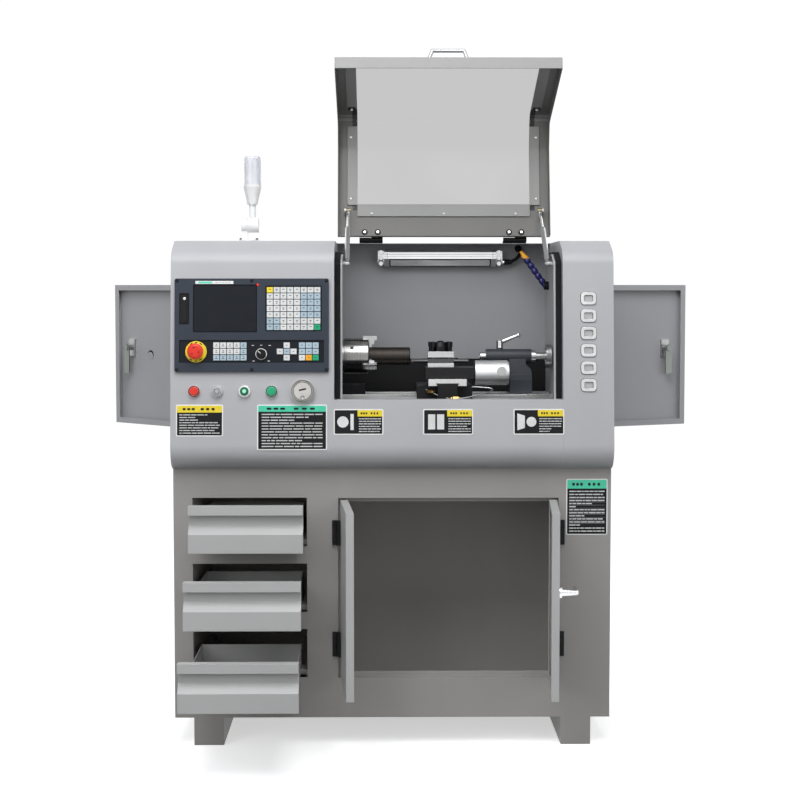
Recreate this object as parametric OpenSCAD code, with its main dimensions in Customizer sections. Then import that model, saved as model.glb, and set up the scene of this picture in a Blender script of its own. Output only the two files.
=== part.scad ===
// Enclosed benchtop lathe on its cabinet stand, in millimetres.
// X runs to the right along the spindle, Y runs to the back and Z is up.
// The origin is on the floor, midway between the four levelling holes of the foot rails.

/* [Sheet metal] */
// Sheet thickness of the stand, the housing and the doors
sheet = 2; // [1.5:0.1:3]
// Gap left at the welded seams between two panels
seam = 0.1; // [0.05:0.05:0.2]

/* [Stand] */
// Width of the stand and of the housing on it
body_w = 1168; // [1120:1:1300]
// Depth of the stand from front to back
stand_d = 500; // [480:1:560]
// Height of the stand's sheet body above its foot rails
stand_h = 673; // [650:1:760]
// Height of the foot rails
foot_h = 75; // [50:1:120]
// Width of each foot rail
foot_w = 80; // [60:1:120]
// Distance from the side of the stand to a foot rail
foot_inset = 51; // [20:1:90]
// Radius of the levelling holes in the foot rails
level_hole_r = 6; // [4:0.5:9]
// Depth of the levelling holes
level_hole_depth = 45; // [30:1:48]
// Distance from the front and back of the stand to the levelling holes
level_hole_in = 40; // [25:1:80]

/* [Drawers] */
// Width of a drawer opening
drawer_open_w = 305; // [280:1:320]
// Height of a drawer opening
drawer_open_h = 131; // [120:1:140]
// Distance from one drawer opening to the next
drawer_pitch = 177; // [165:1:190]
// Height of the lowest drawer opening above the floor of the stand
drawer_low_z = 109; // [60:1:120]
// Middle of the drawer openings, measured from the middle of the stand
drawer_x = -381; // [-390:1:-370]
// Gap round a drawer front
drawer_gap = 4; // [2:0.5:6]
// Thickness of the folded drawer front
drawer_front_t = 26; // [24:1:36]
// Height of the flat band above the grip of a drawer
grip_band_h = 24; // [15:1:30]
// Height of the finger grip of a drawer
grip_h = 27; // [20:1:32]
// Depth of the finger grip of a drawer
grip_depth = 20; // [12:1:22]
// Height of the slope below the finger grip
grip_slope_h = 23; // [10:1:26]
// Length of a drawer box behind its front
drawer_len = 440; // [380:1:446]
// Height of the side walls of a drawer box
drawer_wall_h = 66; // [40:1:90]
// Distance from the edge of a drawer front to the drawer box
drawer_side_in = 13; // [8:1:18]
// Height of the runners under a drawer
runner_h = 12; // [8:1:16]
// How far a runner reaches under the drawer box
runner_lap = 8; // [5:1:14]
// Running gap under a drawer box
runner_gap = 0.3; // [0.2:0.1:0.5]
// How far the top drawer stands open
top_drawer_out = 150; // [0:1:400]
// How far the middle drawer stands open
middle_drawer_out = 280; // [0:1:400]
// How far the bottom drawer stands open
bottom_drawer_out = 415; // [0:1:420]

/* [Cupboard] */
// Width of the cupboard opening
cup_w = 589; // [540:1:600]
// Height of the cupboard opening
cup_h = 485; // [440:1:520]
// Height of the cupboard opening above the floor of the stand
cup_low_z = 108; // [60:1:120]
// Middle of the cupboard opening, measured from the middle of the stand
cup_x = 149.5; // [140:0.5:160]
// Depth of the folded frame behind the cupboard opening
stop_d = 28; // [25:1:40]
// Width of the lip that the cupboard doors close against
stop_lip = 12; // [8:1:20]
// Thickness of the cupboard doors
cup_door_t = 20; // [16:1:24]
// How far the cupboard doors stand open, in degrees
cup_door_open = 86; // [0:1:95]
// Height of the middle of the lower door hinges above the opening's edge
cup_hinge_in = 92; // [60:1:140]
// Distance from the free edge of the right door to its lever
lever_in = 34; // [26:1:60]
// Height of the lever above the lower edge of the door
lever_z = 272; // [200:1:320]

/* [Doors and hinges] */
// Gap round an inset door
door_gap = 4; // [2.5:0.5:6]
// Width of the lip folded in round the back of an end door
door_lip = 16; // [10:1:24]
// Length of a door hinge
hinge_len = 66; // [50:1:80]
// Radius of the hinge knuckles
knuckle_r = 6; // [5:0.5:7]
// Radius of the hinge pins
pin_r = 3; // [2:0.5:3.5]
// Running clearance between pins, shafts and their bores
run_gap = 0.05; // [0.02:0.01:0.1]
// Gap between the ends of two knuckles, and round pieces that swing past each other
play = 0.4; // [0.3:0.1:0.8]
// Width of a hinge leaf
leaf_w = 16; // [12:1:24]
// Thickness of a hinge leaf
leaf_t = 7; // [4:0.5:8]
// Distance from a door's face to its hinge pin
pin_off = 6; // [5.5:0.5:9]

/* [End doors] */
// Width of the end doors
end_door_w = 288; // [260:1:320]
// Height of the end doors
end_door_h = 409; // [340:1:415]
// Thickness of the end doors
end_door_t = 20; // [16:1:26]
// Height of the end openings above the top of the stand
end_low_z = 79; // [75:1:90]
// Distance from the back of the stand to the hinge edge of the end openings
end_hinge_in = 100; // [60:1:115]
// How far the left end door stands open, in degrees
left_end_open = 133; // [0:1:140]
// How far the right end door stands open, in degrees
right_end_open = 115; // [0:1:140]
// Distance from the free edge of an end door to its latch
latch_in = 62; // [50:1:70]
// Height of the latches above the middle of the end doors
latch_up = 20; // [0:1:40]
// Radius of the knockout hole in the left end door
knockout_r = 14; // [8:1:18]

/* [Housing] */
// Height of the housing above the stand
house_h = 606; // [590:1:640]
// How far the front of the housing would reach past the stand at its foot
front_reach = 68; // [40:1:90]
// Lean of the front face, in degrees
front_lean = 5.7; // [3:0.1:8]
// Drop from the flat top of the housing to the crease above its front
crease_drop = 34; // [20:1:50]
// Distance from the crease back to the flat top
crease_run = 88; // [60:1:120]
// Bend radius at the foot of the front face
foot_bend = 62; // [40:1:75]
// Bend radius at the crease
crease_bend = 48; // [42:1:60]
// Bend radius at the edge of the flat top
top_bend = 45; // [42:1:60]

/* [Work bay] */
// Width of the bay opening
bay_w = 604; // [560:1:620]
// Middle of the bay opening, measured from the middle of the stand
bay_x = 148; // [140:1:156]
// Height of the sill of the bay above the top of the stand
sill_z = 186; // [170:1:200]
// Depth of the rebate round the bay that takes the hood
rebate = 36; // [32:1:40]
// Width of the flange in the rebate
flange_w = 21; // [18:1:21]
// Thickness of the rubber seal on the flange
seal_t = 6; // [3:0.5:8]
// Width of the rubber seal
seal_w = 15; // [10:1:17]
// Distance from the back of the stand to the back wall of the bay
wall_in = 50; // [40:1:70]

/* [Hood] */
// How far the hood stands open, in degrees
hood_open = 102; // [0:1:104]
// Distance from the middle of the stand back to the hood's pin
hood_pin_y = 90; // [80:1:100]
// Height of the hood's pin above the flat top
hood_pin_z = 10; // [9:0.5:14]
// Gap at the sides of the closed hood
hood_side_gap = 2; // [1.5:0.5:4]
// Gap under the lip of the closed hood
hood_lip_gap = 5; // [3:0.5:8]
// Width of the window
window_w = 489; // [440:1:505]
// Thickness of the window
window_t = 3; // [2:0.5:5]
// How far the window reaches under the sheet round it
window_lap = 14; // [8:1:16]
// Distance from the hood's pin to the window
window_top_in = 97; // [90:1:140]
// Distance from the hood's lip to the window
window_lip_in = 48; // [40:1:80]
// Thickness of the strips that hold the window
strip_t = 2; // [1.5:0.5:3]
// Width of the strips at the sides of the window
strip_w = 28; // [20:1:29]
// Width of the strip between the window and the hood's hinges
band_w = 33; // [20:1:38]
// Width of the bow handle
bow_w = 104; // [90:1:140]
// How far the bow handle stands out
bow_out = 30; // [22:1:45]
// Radius of the bar of the bow handle
bow_r = 5; // [4:0.5:7]
// How far the legs of the bow handle lean in
bow_lean = 10; // [0:1:14]
// Distance from the lip to the bow handle
bow_in = 24; // [18:1:36]
// Distance from the middle of the bay to the left hood hinge
hood_hinge_left = 206; // [150:1:230]
// Distance from the middle of the bay to the right hood hinge
hood_hinge_right = 202; // [150:1:230]

/* [Gas struts] */
// Distance from the bay's side to the middle of a strut
strut_in = 32; // [31:0.5:33]
// Distance in front of the middle of the stand to a strut's lower pivot
strut_foot_y = 190; // [180:1:195]
// Distance below the flat top to a strut's lower pivot
strut_foot_drop = 62; // [60:1:80]
// Distance from the hood's pin forward to a strut's upper pivot, with the hood closed
strut_head_run = 73; // [65:1:80]
// Distance below the flat top to a strut's upper pivot, with the hood closed
strut_head_drop = 36; // [34:1:38]
// Radius of a strut's tube
strut_r = 7; // [6:0.5:7.5]
// Radius of a strut's rod
rod_r = 3.5; // [3:0.5:5]
// Length of a strut's tube from its pivot
strut_len = 190; // [180:1:195]
// How far the rod stays in the tube with the hood open
rod_stay = 25; // [15:1:40]

/* [Bed and headstock] */
// Height of the bed's ways above the top of the stand
way_z = 186; // [176:1:196]
// Height of the spindle axis above the ways
center_h = 103; // [98:1:110]
// Width of the bed across its ways
bed_w = 150; // [140:1:170]
// Width of each way
way_w = 36; // [30:1:44]
// Thickness of the ways
way_t = 22; // [16:1:30]
// How far the bed reaches behind the bay's left wall
bed_left = 208; // [200:1:212]
// Gap between the right end of the bed and the bay's right wall
bed_right_gap = 6; // [3:1:20]
// Length of the headstock
head_len = 200; // [180:1:215]
// Radius of the headstock's bearings, outside
bearing_r = 31; // [28:1:36]
// Radius of the spindle
spindle_r = 20; // [16:1:22]
// Radius of the bore through the spindle
spindle_bore_r = 10.5; // [8:0.5:13]
// Distance from the bay's left wall to the chuck's back face
chuck_in = 21; // [18:1:24]
// Diameter of the chuck
chuck_d = 100; // [90:1:104]
// Length of the chuck
chuck_len = 70; // [60:1:75]
// Radius of the bar held in the chuck
bar_r = 25; // [22:1:26]
// Length of the bar
bar_len = 114; // [90:1:118]
// Width of a chuck jaw
jaw_w = 16; // [14:1:18]
// How far the highest step of a jaw stands out of the chuck
jaw_out = 21; // [18:1:26]

/* [Carriage] */
// Distance from the bay's left wall to the saddle
saddle_in = 222; // [218:1:232]
// Length of the saddle along the bed
saddle_len = 152; // [140:1:156]
// Thickness of the saddle above the ways
saddle_t = 26; // [20:1:27]
// Width of the cross slide
slide_w = 104; // [96:1:108]
// Thickness of the cross slide
slide_t = 19; // [16:1:22]
// Length of the cross slide from front to back
slide_len = 170; // [160:1:180]
// Width of the dovetail under the cross slide
dovetail_w = 61; // [54:1:66]
// Height of the dovetail
dovetail_h = 8; // [6:1:10]
// Distance in front of the spindle axis to the middle of the tool head
head_y = 76; // [74:1:82]
// Width of the square tool head
head_w = 71; // [66:1:74]
// Height of the turret's base
turret_base_h = 31; // [28:1:33]
// Height of the tool slots
slot_h = 16; // [14:1:18]
// Depth of the tool slots
slot_depth = 17; // [14:1:19]
// Radius of the turret's motor
turret_motor_r = 34; // [30:1:34]
// Length of the turret's motor
turret_motor_len = 92; // [80:1:96]
// Radius of the long feed screw
screw_r = 8; // [6:0.5:10]

/* [Tailstock] */
// Distance from the bay's right wall to the tailstock's right face
tail_in = 60; // [58:1:66]
// Length of the tailstock's barrel
barrel_len = 127; // [118:1:130]
// Length of the tailstock's foot along the bed
tail_foot_len = 62; // [54:1:66]
// Width of the tailstock's foot across the bed
tail_foot_w = 80; // [70:1:84]
// Radius of the quill
quill_r = 11; // [9:0.5:13]
// How far the quill stands out
quill_out = 16; // [10:1:20]
// Radius of the handwheel
wheel_r = 33; // [28:1:36]

/* [Control panel] */
// Width of the control panel
panel_w = 405; // [396:1:410]
// Height of the control panel along the front face
panel_h = 246; // [240:1:256]
// Thickness of the control panel
panel_t = 10; // [8:1:14]
// Middle of the control panel, measured from the middle of the stand
panel_x = -370; // [-374:1:-366]
// Height of the middle of the panel above the top of the stand
panel_z = 381; // [376:1:386]
// Depth of the recesses in the panel
recess = 4; // [2:0.5:6]
// Width of a key
key_w = 16; // [12:0.5:16]
// Height of a key
key_h = 14.5; // [11:0.5:15]
// Distance from one key to the next, across
key_step_x = 17.8; // [16.5:0.1:18]
// Distance from one key to the next, up
key_step_y = 16.4; // [15.5:0.1:16.8]
// How far a key stands out of its recess
key_out = 3; // [1.5:0.5:5]

/* [Buttons] */
// Height of the row of buttons above the top of the stand
button_z = 208; // [200:1:212]
// Radius of the bezels of the buttons
bezel_r = 15.5; // [14:0.5:18]
// Height of the bezels
bezel_h = 9; // [7:0.5:12]
// Radius of the button caps
cap_r = 11; // [9:0.5:13]
// How far a button travels
cap_travel = 3; // [2:0.5:4]
// Radius of the pulse dial
dial_r = 30; // [26:1:34]
// Radius of the emergency stop's head
estop_r = 21; // [18:1:24]
// How far the emergency stop travels
estop_travel = 5; // [4:0.5:7]

/* [Tower light] */
// Middle of the tower light, measured from the middle of the stand
tower_x = -397; // [-440:1:-370]
// Distance from the middle of the stand back to the tower light
tower_y = 0; // [-60:1:120]
// Height of the fold's axis above the flat top
fold_z = 48; // [40:1:60]
// Radius of the fold's barrel
fold_r = 21; // [16:1:26]
// Radius of the lens
lens_r = 24; // [20:1:30]
// Height of the lens
lens_h = 78; // [60:1:120]

/* [Lamp and coolant] */
// Length of the lamp's body
lamp_len = 323; // [280:1:400]
// Distance from the bay's left wall to the lamp's body
lamp_in = 133; // [120:1:160]
// Height of the lamp's section
lamp_h = 49; // [40:1:50]
// Depth of the lamp's section
lamp_d = 40; // [34:1:44]
// Gap between the lamp and the flat top above it
lamp_drop = 16; // [12:1:30]
// Number of segments in the coolant hose
hose_segments = 6; // [4:1:8]

/* [Hidden] */
$fn = 64;
big = 4000;
bend_steps = 14;

// Main planes
front_y = -stand_d / 2;
back_y = stand_d / 2;
half_w = body_w / 2;
stand_top = foot_h + stand_h;
house_top = stand_top + house_h;
sill = stand_top + sill_z;
bay_left = bay_x - bay_w / 2;
bay_right = bay_x + bay_w / 2;
bay_wall_y = back_y - wall_in;
wall_low = sill + 68;

// Housing outline as [y, z, bend radius], and the front face
face_foot_y = front_y - front_reach;
crease_z = house_top - crease_drop;
crease_y = face_foot_y + (crease_z - stand_top) * tan(front_lean);
housing_corners = [
    [back_y, stand_top, 0],
    [back_y, house_top, 0],
    [crease_y + crease_run, house_top, top_bend],
    [crease_y, crease_z, crease_bend],
    [face_foot_y, stand_top, foot_bend]
];

// Drawers
drawer_front_w = drawer_open_w - 2 * drawer_gap;
drawer_front_h = drawer_open_h - 2 * drawer_gap;
drawer_box_w = drawer_front_w - 2 * drawer_side_in;
drawer_floor = drawer_gap + 10;

// Doors
cup_low = foot_h + cup_low_z;
cup_door_w = cup_w / 2 - door_gap * 1.5;
cup_door_h = cup_h - 2 * door_gap;
end_low = stand_top + end_low_z;
end_hinge_y = back_y - end_hinge_in;
latch_r = 8;

// Hood
hood_left = bay_left + hood_side_gap;
hood_right = bay_right - hood_side_gap;
hood_depth = rebate - seal_t - play;
hood_back = hood_pin_y - 5;
hood_lip = sill + hood_lip_gap;
hood_axis_z = house_top + hood_pin_z;
window_left = bay_x - window_w / 2;
window_right = bay_x + window_w / 2;

// Struts: feet on the housing, heads on the hood, angles in the plane of travel
strut_foot = [-strut_foot_y, house_top - strut_foot_drop];
head_shut = [-strut_head_run, -hood_pin_z - strut_head_drop];
head_turn = [
    head_shut[0] * cos(hood_open) + head_shut[1] * sin(hood_open),
    -head_shut[0] * sin(hood_open) + head_shut[1] * cos(hood_open)
];
strut_head = [hood_pin_y, hood_axis_z] + head_turn;
strut_span = norm(strut_head - strut_foot);
strut_angle = atan2(strut_head[1] - strut_foot[1], strut_head[0] - strut_foot[0]);
eye_r = 7;
eye_half = 6;
eye_pin_r = 3;
stud_end = strut_in - eye_half - play;

// Lathe
way = stand_top + way_z;
axis_z = way + center_h;
bed_x0 = bay_left - bed_left;
bed_x1 = bay_right - bed_right_gap;
chuck_x0 = bay_left + chuck_in;
chuck_x1 = chuck_x0 + chuck_len;
head_x1 = bay_left - 10;
head_x0 = head_x1 - head_len;
pulley_w = 34;
pulley_x = head_x0 - 6 - pulley_w;
pulley_r = 42;
motor_pulley_r = 28;
motor_y = back_y - 110;
motor_r = 58;
motor_len = 164;
motor_z = stand_top + motor_r + 72;
motor_shaft_r = 9;
belt_t = 5;
bed_floor = stand_top + sheet + seam;

// Carriage
saddle_x0 = bay_left + saddle_in;
saddle_x1 = saddle_x0 + saddle_len;
saddle_top = way + play + saddle_t;
slide_x0 = saddle_x0 + 31;
slide_top = saddle_top + slide_t;
head_x = slide_x0 + head_w / 2 - 1;
turret_top = slide_top + turret_base_h;
screw_y = -bed_w / 2 - screw_r - 9;
screw_z = way - 40;
turret_motor_x = slide_x0 + 130;

// Tailstock
tail_x1 = bay_right - tail_in;
tail_x0 = tail_x1 - barrel_len;
barrel_half = 20;
lever_x = tail_x0 + 39;
wheel_x = tail_x1 + 41;
wheel_w = 15;

// Lamp
lamp_x0 = bay_left + lamp_in;
lamp_top = house_top - lamp_drop;
lamp_back = bay_wall_y - 3;
cable_r = 5;
cable_start = [lamp_x0 + lamp_len + 18 + seam, lamp_back - 22, lamp_top - 36];
cable_wall = bay_wall_y - seam - cable_start[1];
cable_bends = [
    [0, 0, 0], [14, 0, 0], [28, -1, 2], [41, -2, 9], [50, -1, 20], [54, 3, 30], [52, 10, 37],
    [48, cable_wall - 8, 39], [48, cable_wall, 39]
];
cable_route = [for (p = cable_bends) cable_start + p];
cable_sides = 10;

// Outline helpers
function unit(v) = v / norm(v);
function left_of(a, b) = let (d = unit(b - a)) [-d[1], d[0]];
function xy(p) = [p[0], p[1]];
function neighbours(pts, i) = let (n = len(pts)) [xy(pts[(i + n - 1) % n]), xy(pts[i]), xy(pts[(i + 1) % n])];
function inset_corner(c, t) =
    let (n1 = left_of(c[0], c[1]), n2 = left_of(c[1], c[2]))
    c[1] + (n1 + n2) * t / (1 + n1 * n2);
function inset(pts, t) = [
    for (i = [0 : len(pts) - 1])
        let (p = inset_corner(neighbours(pts, i), t))
        [p[0], p[1], max(pts[i][2] - t, 0)]
];
function corner_arc(c, r) =
    let (u = unit(c[0] - c[1]), w = unit(c[2] - c[1]), half = acos(u * w) / 2)
    let (mid = c[1] + unit(u + w) * r / sin(half))
    let (p = c[1] + u * r / tan(half) - mid, q = c[1] + w * r / tan(half) - mid)
    let (a = atan2(p[1], p[0]), turn = atan2(p[0] * q[1] - p[1] * q[0], p * q))
    [for (i = [0 : bend_steps]) mid + r * [cos(a + turn * i / bend_steps), sin(a + turn * i / bend_steps)]];
function rounded(pts) = [
    for (i = [0 : len(pts) - 1])
        each (pts[i][2] > 0 ? corner_arc(neighbours(pts, i), pts[i][2]) : [xy(pts[i])])
];
function outline(t) = rounded(inset(housing_corners, t));
function face_y(z) = face_foot_y + (z - stand_top) * tan(front_lean);

// Shape helpers
module along_x(x0, x1) {
    translate([x0, 0, 0]) rotate([90, 0, 90]) linear_extrude(x1 - x0) children();
}
module along_y(y0, y1) {
    translate([0, y1, 0]) rotate([90, 0, 0]) linear_extrude(y1 - y0) children();
}
module box(x, y, z) {
    translate([x[0], y[0], z[0]]) cube([x[1] - x[0], y[1] - y[0], z[1] - z[0]]);
}
module rod_x(x0, x1, r) {
    translate([x0, 0, 0]) rotate([0, 90, 0]) cylinder(r = r, h = x1 - x0);
}
module ring(t0, t1) {
    difference() {
        polygon(outline(t0));
        polygon(outline(t1));
    }
}
module on_front(x, z) {
    translate([x, face_y(z), z]) rotate([90 - front_lean, 0, 0]) children();
}
module on_axis() {
    translate([0, 0, axis_z]) children();
}
module rounded_square(w, h, r) {
    difference() {
        square([w, h], center = true);
        for (sx = [-1, 1], sy = [-1, 1])
            translate([sx * (w / 2 - r), sy * (h / 2 - r)])
                difference() {
                    translate([sx > 0 ? 0 : -r, sy > 0 ? 0 : -r]) square(r);
                    circle(r);
                }
    }
}

// Hinges: the pin runs along Z through the origin, and the moving door lies towards +X
module hinge_fixed(length) {
    half = length / 2;
    cylinder(r = pin_r, h = length);
    cylinder(r = knuckle_r, h = half - play / 2);
    box([-leaf_w, -knuckle_r - play], [pin_off - leaf_t, pin_off], [0, length]);
    box([-knuckle_r - play - 1, 0], [pin_off - leaf_t, pin_off], [0, half - play / 2]);
}
module hinge_moving(length) {
    half = length / 2;
    difference() {
        union() {
            translate([0, 0, half + play / 2]) cylinder(r = knuckle_r, h = half - play / 2);
            box([knuckle_r + play, leaf_w], [pin_off - leaf_t, pin_off], [0, length]);
            box([0, knuckle_r + play + 1], [pin_off - leaf_t, pin_off], [half + play / 2, length]);
        }
        translate([0, 0, -1]) cylinder(r = pin_r + run_gap, h = length + 2);
    }
}

// A folded tray door in the hinge's own frame, with its lower edge at z = 0
module tray_door(w, h, t, lip) {
    difference() {
        box([door_gap, door_gap + w], [pin_off, pin_off + t], [0, h]);
        box([door_gap + sheet, door_gap + w - sheet], [pin_off + sheet, pin_off + t - sheet], [sheet, h - sheet]);
        box([door_gap + lip, door_gap + w - lip], [pin_off + sheet, pin_off + t + 1], [lip, h - lip]);
    }
}

// Places of the hinges' pins
module at_left_cupboard() {
    translate([cup_x - cup_w / 2, front_y - pin_off, cup_low]) children();
}
module at_right_cupboard() {
    translate([2 * cup_x, 0, 0]) mirror([1, 0, 0]) at_left_cupboard() children();
}
module at_left_end() {
    translate([-half_w - pin_off, end_hinge_y, end_low]) rotate([0, 0, -90]) children();
}
module at_right_end() {
    mirror([1, 0, 0]) at_left_end() children();
}
module at_hood(x) {
    translate([x - hinge_len / 2, hood_pin_y, hood_axis_z]) rotate([0, 90, 0]) children();
}
module hood_pose() {
    translate([0, hood_pin_y, hood_axis_z]) rotate([-hood_open, 0, 0])
        translate([0, -hood_pin_y, -hood_axis_z]) children();
}
function cup_hinge_z(i) = (i == 0 ? cup_hinge_in : cup_h - cup_hinge_in) - hinge_len / 2;
function end_hinge_z(i) = (i == 0 ? 70 : end_door_h - 70) - hinge_len / 2;

// Stand
module cabinet() {
    color("darkgray") {
        difference() {
            box([-half_w, half_w], [front_y, front_y + sheet], [foot_h, stand_top]);
            for (i = [0 : 2])
                box(drawer_span_x(), [front_y - 1, front_y + sheet + 1], drawer_span_z(i));
            box(cup_span_x(0), [front_y - 1, front_y + sheet + 1], cup_span_z(0));
        }
        difference() {
            box(cup_span_x(sheet), [front_y + sheet + seam, front_y + stop_d], cup_span_z(sheet));
            box(cup_span_x(0), [front_y, front_y + stop_d - sheet], cup_span_z(0));
            box(cup_span_x(-stop_lip), [front_y, front_y + stop_d + 1], cup_span_z(-stop_lip));
        }
        for (s = [-1, 1]) {
            x0 = s > 0 ? half_w - sheet : -half_w;
            box([x0, x0 + sheet], [front_y + sheet + seam, back_y], [foot_h, stand_top]);
        }
        inner = half_w - sheet - seam;
        box([-inner, inner], [back_y - sheet, back_y], [foot_h, stand_top]);
        box([-inner, inner], stand_inside(), [stand_top - sheet, stand_top]);
        box([-inner, inner], stand_inside(), [foot_h, foot_h + sheet]);
        for (x0 = [drawer_span_x()[0] - sheet, drawer_span_x()[1]])
            box([x0, x0 + sheet], stand_inside(), stand_height());
        for (i = [0 : 2], s = [-1, 1]) runner(i, s);
        for (s = [-1, 1]) foot_rail(s);
    }
}
function drawer_span_x() = [drawer_x - drawer_open_w / 2, drawer_x + drawer_open_w / 2];
function drawer_z(i) = foot_h + drawer_low_z + i * drawer_pitch;
function drawer_span_z(i) = [drawer_z(i), drawer_z(i) + drawer_open_h];
function cup_span_x(more) = [cup_x - cup_w / 2 - more, cup_x + cup_w / 2 + more];
function cup_span_z(more) = [cup_low - more, cup_low + cup_h + more];
function stand_inside() = [front_y + sheet + seam, back_y - sheet - seam];
function stand_height() = [foot_h + sheet + seam, stand_top - sheet - seam];
module runner(i, side) {
    wall = drawer_open_w / 2 - seam;
    lap = drawer_box_w / 2 - runner_lap;
    top = drawer_z(i) + drawer_floor - runner_gap;
    x = side > 0 ? [lap, wall] : [-wall, -lap];
    translate([drawer_x, 0, 0])
        box(x, [front_y + drawer_front_t + 2, back_y - sheet - seam], [top - runner_h, top]);
}
module foot_rail(side) {
    x = side * (half_w - foot_inset - foot_w / 2);
    difference() {
        box([x - foot_w / 2, x + foot_w / 2], [front_y, back_y], [0, foot_h - seam]);
        for (s = [-1, 1])
            translate([x, s * (stand_d / 2 - level_hole_in), -1]) cylinder(r = level_hole_r, h = level_hole_depth + 1);
    }
}

// Drawers, each a folded front and a sheet box
module drawer(i, out) {
    z = drawer_z(i) + drawer_gap;
    top = drawer_front_h;
    grip_top = top - grip_band_h;
    grip_low = grip_top - grip_h;
    side = drawer_box_w / 2;
    floor_z = drawer_floor - drawer_gap;
    front_back = front_y + drawer_front_t;
    translate([drawer_x, -out, z]) {
        translate([-drawer_front_w / 2, 0, 0]) along_x(0, drawer_front_w)
            polygon([
                [front_y, 0], [front_back, 0], [front_back, top], [front_y, top], [front_y, grip_top],
                [front_y + grip_depth, grip_top], [front_y + grip_depth, grip_low],
                [front_y, grip_low - grip_slope_h]
            ]);
        difference() {
            box([-side, side], [front_back - 1, front_back + drawer_len], [floor_z, floor_z + drawer_wall_h]);
            box([sheet - side, side - sheet], [front_back, front_back + drawer_len - sheet],
                [floor_z + sheet, floor_z + drawer_wall_h + 1]);
        }
    }
}
module drawer_top() {
    color("darkgray") drawer(2, top_drawer_out);
}
module drawer_middle() {
    color("darkgray") drawer(1, middle_drawer_out);
}
module drawer_bottom() {
    color("darkgray") drawer(0, bottom_drawer_out);
}

// Cupboard doors
module cup_door() {
    translate([0, 0, door_gap]) tray_door(cup_door_w, cup_door_h, cup_door_t, stop_lip);
    for (i = [0, 1]) translate([0, 0, cup_hinge_z(i)]) hinge_moving(hinge_len);
}
module left_cabinet_door() {
    color("darkgray") at_left_cupboard() rotate([0, 0, -cup_door_open]) cup_door();
}
module right_cabinet_door() {
    color("darkgray") at_right_cupboard() rotate([0, 0, -cup_door_open])
        difference() {
            cup_door();
            at_lever() rod_through(lever_shaft_r + run_gap);
        }
}
lever_shaft_r = 6;
module at_lever() {
    translate([door_gap + cup_door_w - lever_in, pin_off, door_gap + lever_z]) rotate([90, 0, 0]) children();
}
module rod_through(r) {
    translate([0, 0, -40]) cylinder(r = r, h = 80);
}
module door_lever() {
    grip_l = 74;
    neck = 42;
    color("silver") at_right_cupboard() rotate([0, 0, -cup_door_open]) at_lever() {
        translate([0, 0, -cup_door_t]) cylinder(r = lever_shaft_r, h = cup_door_t + 8);
        translate([0, 0, play]) cylinder(r = 15, h = 6);
        translate([0, 0, 6]) cylinder(r1 = 10, r2 = 6.5, h = neck - 6);
        translate([0, 0, neck]) sphere(r = 6.5);
        translate([0, 0, neck]) rotate([0, -90, 0]) cylinder(r1 = 6.5, r2 = 5, h = grip_l);
        translate([-grip_l, 0, neck]) sphere(r = 5);
        translate([0, 0, -cup_door_t + sheet]) linear_extrude(3) translate([-9, -11]) square([18, 33]);
    }
}

// The fixed halves of all hinges
module hinge_blocks() {
    color("dimgray") {
        for (i = [0, 1]) {
            at_left_cupboard() translate([0, 0, cup_hinge_z(i)]) hinge_fixed(hinge_len);
            at_right_cupboard() translate([0, 0, cup_hinge_z(i)]) hinge_fixed(hinge_len);
            at_left_end() translate([0, 0, end_hinge_z(i)]) hinge_fixed(hinge_len);
            at_right_end() translate([0, 0, end_hinge_z(i)]) hinge_fixed(hinge_len);
        }
        for (x = hood_hinge_places()) hood_hinge_fixed(x);
    }
}
function hood_hinge_places() = [bay_x - hood_hinge_left, bay_x + hood_hinge_right];
hood_leaf_d = 26;
module hood_hinge_fixed(x) {
    half = hinge_len / 2;
    at_hood(x) cylinder(r = pin_r, h = hinge_len);
    at_hood(x) cylinder(r = knuckle_r, h = half - play / 2);
    box([x - half, x + half], [hood_pin_y + knuckle_r + play, hood_pin_y + hood_leaf_d], [house_top, house_top + leaf_t]);
    box([x - half, x - play / 2], [hood_pin_y, hood_pin_y + knuckle_r + 1], [hood_axis_z - 4, hood_axis_z]);
    box([x - half, x - play / 2], [hood_pin_y + knuckle_r + play, hood_pin_y + knuckle_r + 4],
        [house_top, hood_axis_z]);
}

// Housing
module end_plate() {
    difference() {
        along_x(-half_w, -half_w + sheet) polygon(outline(sheet + seam));
        end_opening();
    }
}
module end_opening() {
    box([-half_w - 1, -half_w + sheet + 1], [end_hinge_y - end_door_w - 2 * door_gap, end_hinge_y],
        [end_low - door_gap, end_low + end_door_h + door_gap]);
}
module bay_flange(x) {
    intersection() {
        along_x(x[0], x[1]) ring(rebate, rebate + sheet);
        box([x[0] - 1, x[1] + 1], [-big, hood_pin_y], [sill, big]);
    }
}
module left_housing() {
    color("gainsboro") {
        along_x(-half_w, bay_left) ring(0, sheet);
        end_plate();
        difference() {
            union() {
                along_x(bay_left - sheet, bay_left) polygon(outline(sheet + seam));
                bay_flange([bay_left - 1, bay_left + flange_w]);
            }
            on_axis() rod_x(bay_left - 9, bay_left + 9, spindle_r + 12);
            box([bay_left - 9, bay_left + 1], [-bed_w / 2 - 45, bed_w / 2 + 9], [stand_top, way + 40]);
        }
        strut_anchor();
    }
}
module right_housing() {
    color("gainsboro") {
        along_x(bay_right, half_w) ring(0, sheet);
        mirror([1, 0, 0]) end_plate();
        along_x(bay_right, bay_right + sheet) polygon(outline(sheet + seam));
        bay_flange([bay_right - flange_w, bay_right + 1]);
        translate([2 * bay_x, 0, 0]) mirror([1, 0, 0]) strut_anchor();
    }
}
module strut_anchor() {
    translate([bay_left - 1, strut_foot[0], strut_foot[1]]) rotate([0, 90, 0]) {
        cylinder(r = 6, h = stud_end + 1);
        cylinder(r = eye_pin_r, h = strut_in + eye_half + 3);
    }
}
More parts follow.
